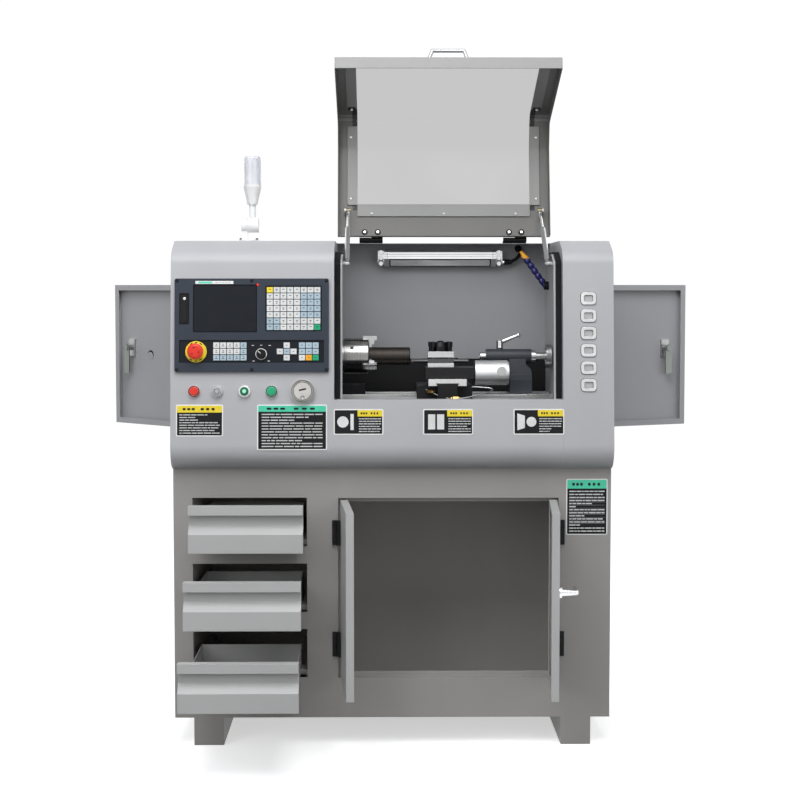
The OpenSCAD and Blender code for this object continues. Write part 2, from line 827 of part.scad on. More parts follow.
module front_apron() {
    ledge = rebate + sheet;
    color("gainsboro") {
        intersection() {
            along_x(bay_left + seam, bay_right - seam) ring(0, sheet);
            box([bay_left, bay_right], [-big, front_y + 40], [0, sill]);
        }
        box([bay_left + seam, bay_right - seam], [face_y(sill) + sheet / 2, face_y(sill) + ledge], [sill - sheet, sill]);
        box([bay_left + seam, bay_right - seam], [face_y(sill) + ledge - sheet, face_y(sill) + ledge],
            [sill - 60, sill]);
    }
}
module rear_panel() {
    x = [bay_left + seam, bay_right - seam];
    color("slategray") {
        box(x, [bay_wall_y, bay_wall_y + sheet], [wall_low, house_top]);
        box(x, [hood_pin_y + 2, bay_wall_y + 1], [house_top - sheet, house_top]);
        box(x, [bay_wall_y + 1, back_y], [house_top - sheet, house_top]);
        box(x, [back_y - sheet, back_y], [stand_top, house_top]);
    }
}
module bay_seals() {
    color("black") for (x0 = [bay_left + 1, bay_right - 1 - seal_w])
        intersection() {
            along_x(x0, x0 + seal_w) ring(rebate - seal_t, rebate - seam);
            box([x0 - 1, x0 + seal_w + 1], [-big, hood_pin_y - 10], [sill + 1, big]);
        }
}

// Hood, drawn closed and then swung open
module hood_part(x, t0, t1, y1, z0) {
    intersection() {
        along_x(x[0], x[1]) ring(t0, t1);
        box([x[0] - 1, x[1] + 1], [-big, y1], [z0, big]);
    }
}
module hood_frame() {
    in = sheet + window_t;
    win_back = hood_pin_y - window_top_in;
    win_low = hood_lip + window_lip_in;
    color("gainsboro") hood_pose() {
        difference() {
            hood_part([hood_left, hood_right], 0, sheet, hood_back, hood_lip);
            hood_part([window_left, window_right], -1, sheet + 1, win_back, win_low);
        }
        for (x0 = [hood_left, hood_right - sheet])
            hood_part([x0, x0 + sheet], sheet / 2, hood_depth, hood_back, hood_lip);
        box([hood_left, hood_right], [face_y(hood_lip) + sheet / 2, face_y(hood_lip) + hood_depth],
            [hood_lip, hood_lip + sheet]);
        box([hood_left, hood_right], [hood_back - sheet, hood_back], [house_top - 14, house_top - sheet / 2]);
        for (x0 = [window_left - strip_w, window_right])
            difference() {
                hood_part([x0, x0 + strip_w], in + seam, in + seam + strip_t, win_back, win_low);
                box([x0 - 1, x0 + strip_w + 1], [-big, crease_y + crease_run * 0.35], [crease_z - 60, big]);
            }
        box([window_left, window_right], [win_back - 2, win_back + band_w],
            [house_top - in - seam - strip_t, house_top - in - seam]);
        strut_bracket();
        translate([2 * bay_x, 0, 0]) mirror([1, 0, 0]) strut_bracket();
        for (x = hood_hinge_places()) hood_hinge_moving(x);
    }
}
module strut_bracket() {
    x = [bay_left + stud_end - 4, bay_left + stud_end];
    y = hood_pin_y + head_shut[0];
    z = hood_axis_z + head_shut[1];
    box(x, [y - 9, y + 9], [z, house_top - sheet / 2]);
    translate([0, y, z]) rod_x(x[0], x[1], 9);
}
module hood_hinge_moving(x) {
    half = hinge_len / 2;
    difference() {
        union() {
            at_hood(x) translate([0, 0, half + play / 2]) cylinder(r = knuckle_r, h = half - play / 2);
            box([x - half, x + half], [hood_pin_y - hood_leaf_d, hood_pin_y - knuckle_r - play],
                [house_top - 1, house_top + leaf_t]);
            box([x + play / 2, x + half], [hood_pin_y - knuckle_r - 1, hood_pin_y], [hood_axis_z - 4, hood_axis_z]);
            box([x + play / 2, x + half], [hood_pin_y - knuckle_r - 4, hood_pin_y - knuckle_r - play],
                [house_top, hood_axis_z]);
        }
        at_hood(x) translate([0, 0, -1]) cylinder(r = pin_r + run_gap, h = hinge_len + 2);
    }
}
module hood_window() {
    win_back = hood_pin_y - window_top_in + window_lap;
    color("lightgray", 0.4) hood_pose()
        hood_part([window_left - window_lap, window_right + window_lap], sheet + seam, sheet + window_t,
            win_back, hood_lip + window_lip_in - window_lap);
}
module hood_handle() {
    color("silver") hood_pose() on_front(bay_x, hood_lip + bow_in) {
        for (s = [-1, 1]) {
            translate([s * bow_w / 2, 0, seam]) cylinder(r = bow_r + 3, h = 4);
            translate([s * bow_w / 2, 0, 3]) rotate([0, -s * atan2(bow_lean, bow_out - 3), 0])
                cylinder(r = bow_r, h = norm([bow_lean, bow_out - 3]));
            translate([s * (bow_w / 2 - bow_lean), 0, bow_out]) sphere(r = bow_r);
        }
        translate([bow_lean - bow_w / 2, 0, bow_out]) rotate([0, 90, 0])
            cylinder(r = bow_r, h = bow_w - 2 * bow_lean);
    }
}

// Gas struts, drawn along +X from the foot pivot and then laid between the pivots
module strut_pose(x) {
    translate([x, strut_foot[0], strut_foot[1]]) rotate([strut_angle, 0, 0]) rotate([0, 0, 90]) children();
}
module strut_eye() {
    rotate([90, 0, 0]) translate([0, 0, -eye_half]) cylinder(r = eye_r, h = 2 * eye_half);
}
module strut_tube(x) {
    color("dimgray") strut_pose(x)
        difference() {
            union() {
                strut_eye();
                rod_x(0, 20, 4.5);
                rod_x(18, strut_len, strut_r);
            }
            rod_x(30, strut_len + 1, rod_r + run_gap);
            rotate([90, 0, 0]) translate([0, 0, -20]) cylinder(r = eye_pin_r + run_gap, h = 40);
        }
}
module strut_rod(x) {
    color("silver") strut_pose(x) {
        translate([strut_span, 0, 0]) strut_eye();
        rod_x(strut_len - rod_stay, strut_span, rod_r);
        rod_x(strut_span - 16, strut_span - 3, 4.5);
    }
}
module left_strut_tube() {
    strut_tube(bay_left + strut_in);
}
module left_strut_rod() {
    strut_rod(bay_left + strut_in);
}
module right_strut_tube() {
    strut_tube(bay_right - strut_in);
}
module right_strut_rod() {
    strut_rod(bay_right - strut_in);
}

// End doors and their cam latches
module end_door() {
    difference() {
        union() {
            tray_door(end_door_w, end_door_h, end_door_t, door_lip);
            at_latch() translate([-13, -25, -sheet - 7]) cube([26, 50, 8]);
        }
        at_latch() rod_through(latch_r + run_gap);
    }
    for (i = [0, 1]) translate([0, 0, end_hinge_z(i)]) hinge_moving(hinge_len);
}
module at_latch() {
    translate([door_gap + end_door_w - latch_in, pin_off, end_door_h / 2 + latch_up]) rotate([90, 0, 0]) children();
}
module left_end_door() {
    color("gainsboro") at_left_end() rotate([0, 0, -left_end_open])
        difference() {
            end_door();
            at_latch() translate([latch_in - 140, -latch_up, 0]) rod_through(knockout_r);
        }
}
module right_end_door() {
    color("gainsboro") at_right_end() rotate([0, 0, -right_end_open]) end_door();
}
module latch() {
    cam_z = -end_door_t - 9;
    reach = latch_in + door_gap + 8;
    at_latch() {
        translate([0, 0, cam_z]) cylinder(r = latch_r, h = 12 - cam_z);
        translate([0, 0, play]) cylinder(r = 13, h = 4);
        translate([0, 0, 8]) linear_extrude(6) square([8, 46], center = true);
        translate([0, 0, cam_z - 4]) cylinder(r = 9, h = 5);
        translate([0, 0, cam_z]) linear_extrude(4) {
            translate([-11, -reach]) square([22, reach]);
            circle(11);
        }
    }
}
module left_latch() {
    color("silver") at_left_end() rotate([0, 0, -left_end_open]) latch();
}
module right_latch() {
    color("silver") at_right_end() rotate([0, 0, -right_end_open]) latch();
}

// Bed, with its chip tray behind and below
module lathe_bed() {
    w = bed_w / 2;
    web = w - 12;
    low = bed_floor + 38;
    color("black") {
        along_x(bed_x0, bed_x1)
            polygon([
                [-w, way], [-w, way - way_t], [-web, way - way_t - 12], [-web, low], [web, low],
                [web, way - way_t - 12], [w, way - way_t], [w, way], [w - way_w, way],
                [w - way_w, way - way_t], [way_w - w, way - way_t], [way_w - w, way]
            ]);
        for (x = [bed_x0 + 20, bed_x1 - 140])
            box([x, x + 120], [-w, w], [bed_floor, low + 1]);
        chip_tray();
        difference() {
            for (x = [bay_left - 50, bay_right - 60]) screw_bearing(x);
            translate([0, screw_y, screw_z]) rod_x(-big, big, screw_r + run_gap);
        }
    }
}
module chip_tray() {
    x = [bay_left + 1, bay_right - 1];
    box(x, [bay_wall_y - sheet - 1, bay_wall_y - 1], [bed_floor, wall_low + 20]);
    box(x, [front_y, bay_wall_y - 1], [bed_floor, bed_floor + sheet]);
}
module screw_bearing(x) {
    box([x, x + 24], [screw_y - 14, 14 - bed_w / 2], [screw_z - 16, screw_z + 16]);
}
module headstock() {
    w = bed_w / 2 - 4;
    top = axis_z + 70;
    color("black") {
        difference() {
            along_x(head_x0, head_x1)
                polygon([[-w, way + seam], [w, way + seam], [w, top - 30], [w - 30, top], [30 - w, top], [-w, top - 30]]);
            on_axis() rod_x(head_x0 - 1, head_x1 + 1, bearing_r - 3);
            for (x = [head_x0 - 1, head_x1 - 22]) on_axis() rod_x(x, x + 23, bearing_r);
        }
        for (x = [head_x0, head_x1 - 22])
            on_axis() difference() {
                rod_x(x, x + 21, bearing_r - seam);
                rod_x(x - 1, x + 22, spindle_r + run_gap);
            }
        box([head_x1 + seam, bay_left + 80], [-w, -w + 44], [way + seam, way + 28]);
    }
}

// Main drive: motor, belt and two pulleys in the left end
module spindle_motor() {
    low = stand_top + sheet + seam;
    color("dimgray") {
        translate([0, motor_y, motor_z]) {
            rod_x(head_x0 + 6, head_x0 + 6 + motor_len, motor_r);
            rod_x(pulley_x - 2, head_x0 + 7, motor_shaft_r);
        }
        box([head_x0 + motor_len / 4, head_x0 + motor_len * 0.85], [motor_y - motor_r + 8, motor_y + motor_r - 8],
            [low, motor_z]);
    }
}
module drive_belt() {
    color("black") along_x(pulley_x + 3, pulley_x + pulley_w - 3)
        difference() {
            belt_shape(belt_t);
            belt_shape(play);
        }
}
function arc(mid, r, a0, a1) = [
    for (i = [0 : 24]) mid + r * [cos(a0 + (a1 - a0) * i / 24), sin(a0 + (a1 - a0) * i / 24)]
];
module belt_shape(more) {
    a = [0, axis_z];
    b = [motor_y, motor_z];
    run = atan2(b[1] - a[1], b[0] - a[0]);
    wrap = acos((pulley_r - motor_pulley_r) / norm(b - a));
    polygon(concat(
        arc(a, pulley_r + more, run + wrap, run + 360 - wrap),
        arc(b, motor_pulley_r + more, run - wrap, run + wrap)
    ));
}
module pulley(r, hole) {
    difference() {
        union() {
            rod_x(0, pulley_w, r);
            for (x = [0, pulley_w - 2]) rod_x(x, x + 2, r + 7);
        }
        rod_x(-1, pulley_w + 1, hole);
    }
}
module motor_pulley() {
    color("silver") translate([pulley_x, motor_y, motor_z]) pulley(motor_pulley_r, motor_shaft_r + run_gap);
}
module spindle() {
    color("silver") on_axis() {
        difference() {
            union() {
                rod_x(pulley_x - 12, chuck_x0 - 12, spindle_r);
                rod_x(chuck_x0 - 13, chuck_x0 - seam, chuck_d / 2 - 4);
                translate([pulley_x, 0, 0]) pulley(pulley_r, spindle_r - 1);
            }
            rod_x(pulley_x - 20, chuck_x0 + 1, spindle_bore_r);
        }
    }
}

// Three-jaw chuck
jaw_slot_w = jaw_w + 2 * play;
jaw_slot_depth = 18;
module chuck_body() {
    r = chuck_d / 2;
    color("silver") on_axis()
        difference() {
            union() {
                rod_x(chuck_x0, chuck_x1 - 3, r);
                translate([chuck_x1 - 3, 0, 0]) rotate([0, 90, 0]) cylinder(r1 = r, r2 = r - 3, h = 3);
            }
            rod_x(chuck_x0 - 1, chuck_x1 + 1, spindle_bore_r + 3);
            for (i = [0 : 2]) rotate([120 * i, 0, 0]) {
                box([chuck_x1 - jaw_slot_depth, chuck_x1 + 1], [-jaw_slot_w / 2, jaw_slot_w / 2], [10, r + 1]);
                rotate([60, 0, 0]) translate([chuck_x0 + 22, 0, r - 14]) rotate([0, 0, 45])
                    cylinder(r = 6, h = 20, $fn = 4);
            }
        }
}
module jaw(i) {
    y = [-jaw_w / 2, jaw_w / 2];
    grip = bar_r + play;
    base = chuck_x1 - jaw_slot_depth + play;
    foot = chuck_x1 - play;
    color("lightgray") on_axis() rotate([120 * i, 0, 0]) {
        box([base, foot], y, [grip - 8, chuck_d / 2 + 6]);
        box([foot - 1, chuck_x1 + jaw_out / 3], y, [grip, grip + 9]);
        box([foot - 1, chuck_x1 + jaw_out * 2 / 3], y, [grip + 8, grip + 20]);
        box([foot - 1, chuck_x1 + jaw_out], y, [grip + 19, grip + 31]);
    }
}
module jaw_1() {
    jaw(0);
}
module jaw_2() {
    jaw(1);
}
module jaw_3() {
    jaw(2);
}
module bar_stock() {
    color("saddlebrown") on_axis() {
        rod_x(chuck_x1 + seam, chuck_x1 + bar_len - 2, bar_r);
        translate([chuck_x1 + bar_len - 2, 0, 0]) rotate([0, 90, 0]) cylinder(r1 = bar_r, r2 = bar_r - 2, h = 2);
    }
}

// Carriage: screw, saddle, cross slide and four-way turret
module z_screw() {
    color("silver") translate([0, screw_y, screw_z]) {
        rod_x(bay_left - 60, bay_right - 26, screw_r);
        rod_x(bay_left - 25, bay_left - 15, screw_r + 5);
    }
}
module saddle() {
    w = bed_w / 2;
    nose = 31;
    color("black") difference() {
        union() {
            box([saddle_x0, saddle_x1], [-w - nose, w + 12], [way + play, saddle_top]);
            box([saddle_x0, saddle_x1], [-w - nose, -w - play], [screw_z - 16, saddle_top]);
            box([saddle_x0, saddle_x1], [w + play, w + 12], [way - way_t + 4, saddle_top]);
            translate([slide_x0 + slide_w / 2, 0, saddle_top - 1]) along_y(-head_y - 70, w + 12)
                polygon([
                    [-dovetail_w / 2 + 4, 0], [dovetail_w / 2 - 4, 0], [dovetail_w / 2, dovetail_h],
                    [-dovetail_w / 2, dovetail_h]
                ]);
            box([slide_x0 + slide_w / 2 - dovetail_w / 2 + 4, slide_x0 + slide_w / 2 + dovetail_w / 2 - 4],
                [-head_y - 70, -w], [way - 18, saddle_top]);
        }
        translate([0, screw_y, screw_z]) rod_x(saddle_x0 - 1, saddle_x1 + 1, screw_r + run_gap);
    }
}
module cross_slide() {
    x = slide_x0;
    color("silver") difference() {
        box([x, x + slide_w], [-head_y - 62, slide_len - head_y - 62], [saddle_top + play, slide_top]);
        translate([x + slide_w / 2, 0, saddle_top]) along_y(-big, big)
            polygon([
                [-dovetail_w / 2 + 4 - play, -1], [dovetail_w / 2 - 4 + play, -1],
                [dovetail_w / 2 + play, dovetail_h - 1 + play], [-dovetail_w / 2 - play, dovetail_h - 1 + play]
            ]);
    }
}
module turret_base() {
    x = slide_x0;
    color("black") {
        box([x - 8, x + 126], [-head_y - 48, 48 - head_y], [slide_top + seam, turret_top]);
        translate([0, -head_y - 8, slide_top + 15]) {
            rod_x(x + 125, turret_motor_x, turret_motor_r - 3);
            rod_x(turret_motor_x - 1, turret_motor_x + turret_motor_len - 4, turret_motor_r);
            rod_x(turret_motor_x + turret_motor_len - 5, turret_motor_x + turret_motor_len, turret_motor_r - 3);
        }
        translate([head_x, -head_y, turret_top - 1]) cylinder(r = 12, h = 9);
    }
}
module tool_head() {
    low = 11;
    plate = 16;
    top = low + slot_h + plate;
    core = head_w - 2 * slot_depth;
    translate([head_x, -head_y, turret_top + play]) {
        color("dimgray") difference() {
            union() {
                translate([-head_w / 2, -head_w / 2, 0]) cube([head_w, head_w, low]);
                translate([-core / 2, -core / 2, 0]) cube([core, core, top]);
                translate([-head_w / 2, -head_w / 2, low + slot_h]) cube([head_w, head_w, plate]);
                translate([0, 0, top - 1]) cylinder(r = 25, h = 13);
                translate([0, 0, top + 11]) cylinder(r1 = 25, r2 = 20, h = 14);
                for (a = [0 : 90 : 270], s = [-1, 1]) rotate([0, 0, a])
                    translate([s * 22, slot_depth / 2 - head_w / 2, low + 12]) cylinder(r = 4, h = slot_h + plate);
            }
            translate([0, 0, -1]) cylinder(r = 12 + run_gap, h = 10);
        }
        for (a = [180, 270]) rotate([0, 0, a]) tool(low);
        boring_bar(low);
    }
}
module boring_bar(low) {
    y = slot_depth / 2 - head_w / 2;
    color("gray") {
        translate([-head_w / 2, y - 6, low + seam]) cube([head_w, 12, 12]);
        translate([0, y, low + seam + 6]) rod_x(-head_w / 2 - 46, head_w / 2 + 40, 5);
        translate([-head_w / 2 - 46, y - 7, low + seam + 3]) cube([7, 7, 5]);
    }
}
module tool(low) {
    s = 12;
    x0 = bar_r + 1.5 - head_y;
    y0 = -head_w / 2 + 1;
    color("gray") {
        translate([x0 + 9, y0, low + seam]) cube([head_w / 2 - slot_depth - 9 - x0, s, s]);
        translate([x0, y0 - 2, low + seam + s - 5]) linear_extrude(5) polygon([[0, 0], [12, 3], [12, 11], [8, 11]]);
    }
}

// Tailstock
module tailstock_body() {
    foot_x0 = tail_x1 - tail_foot_len;
    wide = tail_foot_w / 2;
    neck = wide - 14;
    color("slategray") difference() {
        union() {
            intersection() {
                along_x(foot_x0, tail_x1)
                    polygon([
                        [-wide, way + play], [wide, way + play], [wide, way + 40], [neck, way + 52],
                        [barrel_half - 1, axis_z - 8], [1 - barrel_half, axis_z - 8], [-neck, way + 52], [-wide, way + 40]
                    ]);
                along_y(-wide - 1, wide + 1) polygon(rounded([
                    [foot_x0 - 1, way, 0], [tail_x1, way, 0], [tail_x1, way + 66, 18],
                    [tail_x1 - 16, way + 80, 0], [tail_x1 - 16, axis_z, 0], [foot_x0 - 1, axis_z, 0]
                ]));
            }
            on_axis() rod_x(tail_x0, tail_x1, barrel_half);
            on_axis() rod_x(tail_x1 - 1, tail_x1 + 12, 16);
            translate([lever_x, 0, axis_z + barrel_half - 4]) cylinder(r = 9, h = 7);
        }
        on_axis() rod_x(tail_x0 - 1, tail_x1 - 14, quill_r + run_gap);
        on_axis() rod_x(tail_x1 - 16, tail_x1 + 20, 6 + run_gap);
        translate([lever_x, 0, axis_z + barrel_half - 5]) cylinder(r = 5 + run_gap, h = 20);
    }
}
module quill() {
    color("silver") on_axis() difference() {
        union() {
            rod_x(tail_x0 - quill_out, tail_x1 - 60, quill_r);
            translate([tail_x0 - quill_out - 1.5, 0, 0]) rotate([0, 90, 0]) cylinder(r1 = quill_r - 2, r2 = quill_r, h = 1.5);
        }
        translate([tail_x0 - quill_out - 2, 0, 0]) rotate([0, 90, 0]) cylinder(r1 = 6.5, r2 = 4.5, h = 40);
    }
}
module handwheel() {
    color("silver") on_axis() {
        rod_x(tail_x1 - 15, wheel_x + 1, 6);
        rod_x(tail_x1 + 12 + play, wheel_x + wheel_w, 10);
        difference() {
            union() {
                rod_x(wheel_x, wheel_x + wheel_w, wheel_r);
                translate([wheel_x - 8, wheel_r - 8, 0]) rod_x(0, 9, 4);
            }
            rod_x(wheel_x - 1, wheel_x + 5, wheel_r - 8);
            rod_x(wheel_x + wheel_w - 5, wheel_x + wheel_w + 1, wheel_r - 8);
        }
        rod_x(wheel_x, wheel_x + wheel_w, 12);
    }
}
module lock_lever() {
    z = axis_z + barrel_half - 4;
    color("silver") translate([lever_x, 0, z]) {
        cylinder(r = 5, h = 12);
        translate([0, 0, 7 + play]) cylinder(r = 10, h = 20);
        translate([0, 0, 22]) rotate([0, 68, 0]) cylinder(r1 = 6, r2 = 4.5, h = 56);
        translate([0, 0, 22]) rotate([0, 68, 0]) translate([0, 0, 56]) sphere(r = 6.5);
    }
}

// Control panel, drawn flat round its middle and laid on the front face
screen_place = [-70, 44];
screen_size = [168, 126];
pad_place = [110, 44];
pad_size = [148, 120];
row_place = [0, -69];
row_size = [380, 60];
port_place = [-177, 43];
port_size = [26, 82];
estop_place = [-146, -70];
knob_place = [25, -76];
shaft_place_r = 6;
module on_panel() {
    on_front(panel_x, stand_top + panel_z) children();
}
module panel_plate() {
    color("darkslategray") on_panel() {
        difference() {
            translate([0, 0, seam]) linear_extrude(panel_t) rounded_square(panel_w, panel_h, 5);
            panel_recess(screen_place, screen_size);
            panel_recess(pad_place, pad_size);
            panel_recess(row_place, row_size);
            panel_recess(port_place, port_size);
        }
        translate([screen_place[0], screen_place[1], panel_t - recess + 2 * seam])
            linear_extrude(1.5) square(screen_size - [4, 4], center = true);
        translate([port_place[0], port_place[1], panel_t - recess])
            linear_extrude(2.5) square(port_size - [6, 8], center = true);
        difference() {
            translate([estop_place[0], estop_place[1], panel_t - recess]) cylinder(r = 15, h = 10);
            translate([estop_place[0], estop_place[1], panel_t - recess + 1]) cylinder(r = 9 + run_gap, h = 12);
        }
        translate([knob_place[0], knob_place[1], panel_t - recess]) cylinder(r = 15, h = 2);
        translate([knob_place[0], knob_place[1], panel_t - recess]) cylinder(r = shaft_place_r, h = 10);
    }
}
module panel_recess(place, size) {
    translate([place[0], place[1], panel_t + seam - recess]) linear_extrude(recess + 1)
        rounded_square(size[0], size[1], 3);
}
module key(place) {
    translate([place[0], place[1], panel_t - recess + 2 * seam]) linear_extrude(key_out)
        square([key_w, key_h], center = true);
}
module key_field(middle, columns, rows) {
    for (i = [0 : columns - 1], j = [0 : rows - 1])
        key(middle + [(i - (columns - 1) / 2) * key_step_x, (j - (rows - 1) / 2) * key_step_y]);
}
module panel_keys() {
    color("silver") on_panel() {
        key_field(pad_place, 8, 7);
        key_field([-57, -69], 5, 3);
        for (p = [[-1, 0], [0, 0], [1, 0], [0, 1], [0, -1]])
            key([92, -69] + [p[0] * key_step_x, p[1] * key_step_y]);
        key_field([150, -69], 3, 3);
    }
}
module estop_head() {
    z = panel_t - recess + 1 + estop_travel + play;
    color("red") on_panel() translate([estop_place[0], estop_place[1], z]) {
        cylinder(r = 9, h = 14);
        translate([0, 0, 10 + play]) cylinder(r1 = estop_r - 4, r2 = estop_r, h = 5);
        translate([0, 0, 15]) cylinder(r = estop_r, h = 6);
        translate([0, 0, 21]) cylinder(r1 = estop_r, r2 = estop_r - 7, h = 4);
    }
}
module selector_knob() {
    color("black") on_panel() translate([knob_place[0], knob_place[1], panel_t - recess + 2 + play])
        difference() {
            union() {
                cylinder(r = 13, h = 5);
                cylinder(r = 10, h = 14);
                translate([-3.5, -12, 0]) cube([7, 24, 15]);
            }
            translate([0, 0, -1]) cylinder(r = shaft_place_r + run_gap, h = 10);
        }
}

// Row of buttons and the pulse dial on the front face
stop_x = -521;
white_x = -461;
lit_x = -389;
green_x = -318;
dial_x = -236;
module on_row(x) {
    on_front(x, stand_top + button_z) children();
}
module button_bezels() {
    color("silver") {
        for (x = [stop_x, white_x, lit_x, green_x]) on_row(x)
            difference() {
                union() {
                    translate([0, 0, seam]) cylinder(r = bezel_r, h = bezel_h - 2);
                    translate([0, 0, seam]) cylinder(r = bezel_r - 2, h = bezel_h);
                }
                translate([0, 0, 2]) cylinder(r = cap_r + run_gap, h = bezel_h + 1);
            }
        on_row(dial_x) {
            translate([0, 0, seam]) cylinder(r = dial_r + 2, h = 4);
            translate([0, 0, seam]) cylinder(r = 8, h = 14);
        }
    }
}
module cap(x) {
    on_row(x) translate([0, 0, 2 + cap_travel + play]) {
        cylinder(r = cap_r, h = bezel_h - 1);
        translate([0, 0, bezel_h - 1]) cylinder(r1 = cap_r, r2 = cap_r - 2, h = 1.5);
    }
}
module stop_button() {
    color("red") cap(stop_x);
}
module white_button() {
    color("white") cap(white_x);
}
module lit_button() {
    color("limegreen") cap(lit_x);
}
module green_button() {
    color("green") cap(green_x);
}
module pulse_dial() {
    color("silver") on_row(dial_x) translate([0, 0, 4 + play])
        difference() {
            union() {
                cylinder(r = dial_r, h = 10);
                translate([0, 0, 10]) cylinder(r1 = dial_r, r2 = dial_r - 4, h = 6);
            }
            translate([0, 0, -1]) cylinder(r = 8 + run_gap, h = 12);
            translate([0, 12 - dial_r, 17]) sphere(r = 6);
        }
}

// Tower light on a folding foot
fold_split = tower_x - 3;
module tower_foot() {
    color("white") translate([0, tower_y, house_top + seam]) {
        translate([tower_x, 0, 0]) cylinder(r = 28, h = 7);
        translate([fold_split - 17, -12, 5]) cube([17 - play / 2, 24, fold_z - 8]);
        translate([0, 0, fold_z - seam]) rod_x(fold_split - 17, fold_split - play / 2, fold_r);
        translate([0, 0, fold_z - seam]) rod_x(fold_split - 2, fold_split + 12, 6);
    }
}
module tower_arm() {
    x = tower_x + 10;
    color("white") translate([0, tower_y, house_top + fold_z]) {
        difference() {
            union() {
                rod_x(fold_split + play / 2, fold_split + 30, fold_r);
                translate([x, 0, 0]) cylinder(r = 10, h = 60);
            }
            rod_x(fold_split - 1, fold_split + 14, 6 + run_gap);
        }
        translate([x, 0, 56]) cylinder(r1 = 14, r2 = lens_r + 1, h = 50);
        translate([x, 0, 106]) cylinder(r = lens_r + 1, h = 5);
    }
}
module tower_lens() {
    x = tower_x + 10;
    color("whitesmoke") translate([x, tower_y, house_top + fold_z + 111 + seam]) {
        cylinder(r = lens_r, h = lens_h - 6);
        translate([0, 0, lens_h - 6]) cylinder(r1 = lens_r, r2 = lens_r - 5, h = 6);
    }
}

// Lamp on the back wall, its cable, and the coolant hose on the right wall
module lamp() {
    y0 = lamp_back - lamp_d;
    z0 = lamp_top - lamp_h;
    glass = 18;
    color("lightgray") {
        along_x(lamp_x0, lamp_x0 + lamp_len)
            polygon([
                [lamp_back, lamp_top], [y0 + 6, lamp_top], [y0, lamp_top - 8], [y0, lamp_top - lamp_h + glass + 4],
                [y0 + 14, z0], [lamp_back, z0]
            ]);
        for (x = [lamp_x0 - 18, lamp_x0 + lamp_len - 1]) {
            box([x, x + 19], [y0 + 8, bay_wall_y - seam], [z0 + 8, lamp_top - 4]);
            for (i = [-1 : 1]) translate([x + 9, y0 + 9, lamp_top - lamp_h / 2 + i * lamp_h / 3])
                rotate([90, 0, 0]) cylinder(r = 6, h = 7);
        }
    }
}
function route_frame(route, i) =
    let (a = route[max(i - 1, 0)], b = route[min(i + 1, len(route) - 1)], d = unit(b - a))
    let (side = unit(cross(d, [0, 0.3, 1])))
    [side, cross(side, d)];
module tube(route, r, sides) {
    n = len(route);
    points = [
        for (i = [0 : n - 1], k = [0 : sides - 1])
            let (f = route_frame(route, i), a = 360 * k / sides)
            route[i] + r * (cos(a) * f[0] + sin(a) * f[1])
    ];
    faces = [
        [for (k = [0 : sides - 1]) k],
        for (i = [0 : n - 2], k = [0 : sides - 1])
            let (m = (k + 1) % sides)
            [i * sides + k, (i + 1) * sides + k, (i + 1) * sides + m, i * sides + m],
        [for (k = [sides - 1 : -1 : 0]) (n - 1) * sides + k]
    ];
    polyhedron(points, faces);
}
module lamp_cable() {
    color("black") tube(cable_route, cable_r, cable_sides);
}
hose_foot = [bay_right - seam, bay_wall_y - 80, house_top - 120];
module coolant_hose() {
    pitch = 18;
    color("royalblue") translate(hose_foot) {
        rotate([0, -90, 0]) cylinder(r = 12, h = 14);
        translate([-10, 0, 0]) rotate([0, -36, 0]) {
            translate([0, 0, -4]) cylinder(r = 8, h = 12);
            for (i = [0 : hose_segments - 2]) translate([0, 0, 6 + i * pitch]) {
                cylinder(r1 = 7, r2 = 9.5, h = 7);
                translate([0, 0, 7]) cylinder(r = 9.5, h = 5);
                translate([0, 0, 12]) cylinder(r1 = 9.5, r2 = 6.5, h = pitch - 11);
            }
            translate([0, 0, 5 + (hose_segments - 1) * pitch]) cylinder(r1 = 9, r2 = 4, h = 26);
        }
    }
}

cabinet();
hinge_blocks();
left_housing();
right_housing();
front_apron();
rear_panel();
bay_seals();
panel_plate();
panel_keys();
button_bezels();
tower_foot();
lathe_bed();
headstock();
spindle_motor();
drive_belt();
lamp();
lamp_cable();
coolant_hose();
hood_frame();
hood_window();
hood_handle();
left_strut_tube();
left_strut_rod();
right_strut_tube();
right_strut_rod();
left_end_door();
right_end_door();
left_latch();
right_latch();
drawer_top();
drawer_middle();
drawer_bottom();
left_cabinet_door();
right_cabinet_door();
door_lever();
spindle();
chuck_body();
bar_stock();
jaw_1();
jaw_2();
jaw_3();
motor_pulley();
z_screw();
saddle();
cross_slide();
turret_base();
tool_head();
tailstock_body();
quill();
handwheel();
lock_lever();
estop_head();
selector_knob();
stop_button();
white_button();
lit_button();
green_button();
pulse_dial();
tower_arm();
tower_lens();
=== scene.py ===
# %% [markdown]
# # An enclosed bench lathe on its cabinet stand
#
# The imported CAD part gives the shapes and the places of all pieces. This script gives them
# their looks: paint, steel, rubber, glass, the printed fields and the small fasteners.
# Lengths are in metres, X runs to the right, Y to the back and Z is up.

import math
import random

import bmesh
import bpy
from mathutils import Matrix, Vector


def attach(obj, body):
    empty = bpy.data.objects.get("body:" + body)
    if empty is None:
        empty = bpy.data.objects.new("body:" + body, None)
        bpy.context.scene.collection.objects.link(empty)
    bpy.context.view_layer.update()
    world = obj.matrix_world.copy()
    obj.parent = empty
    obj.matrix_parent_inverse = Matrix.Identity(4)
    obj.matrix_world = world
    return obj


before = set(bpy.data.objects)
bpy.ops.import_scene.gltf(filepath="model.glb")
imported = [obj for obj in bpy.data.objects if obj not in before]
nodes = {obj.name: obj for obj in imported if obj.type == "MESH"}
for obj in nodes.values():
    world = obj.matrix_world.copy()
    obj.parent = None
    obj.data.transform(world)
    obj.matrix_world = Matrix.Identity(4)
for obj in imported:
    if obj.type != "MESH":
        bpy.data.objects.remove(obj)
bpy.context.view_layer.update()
scene = bpy.context.scene

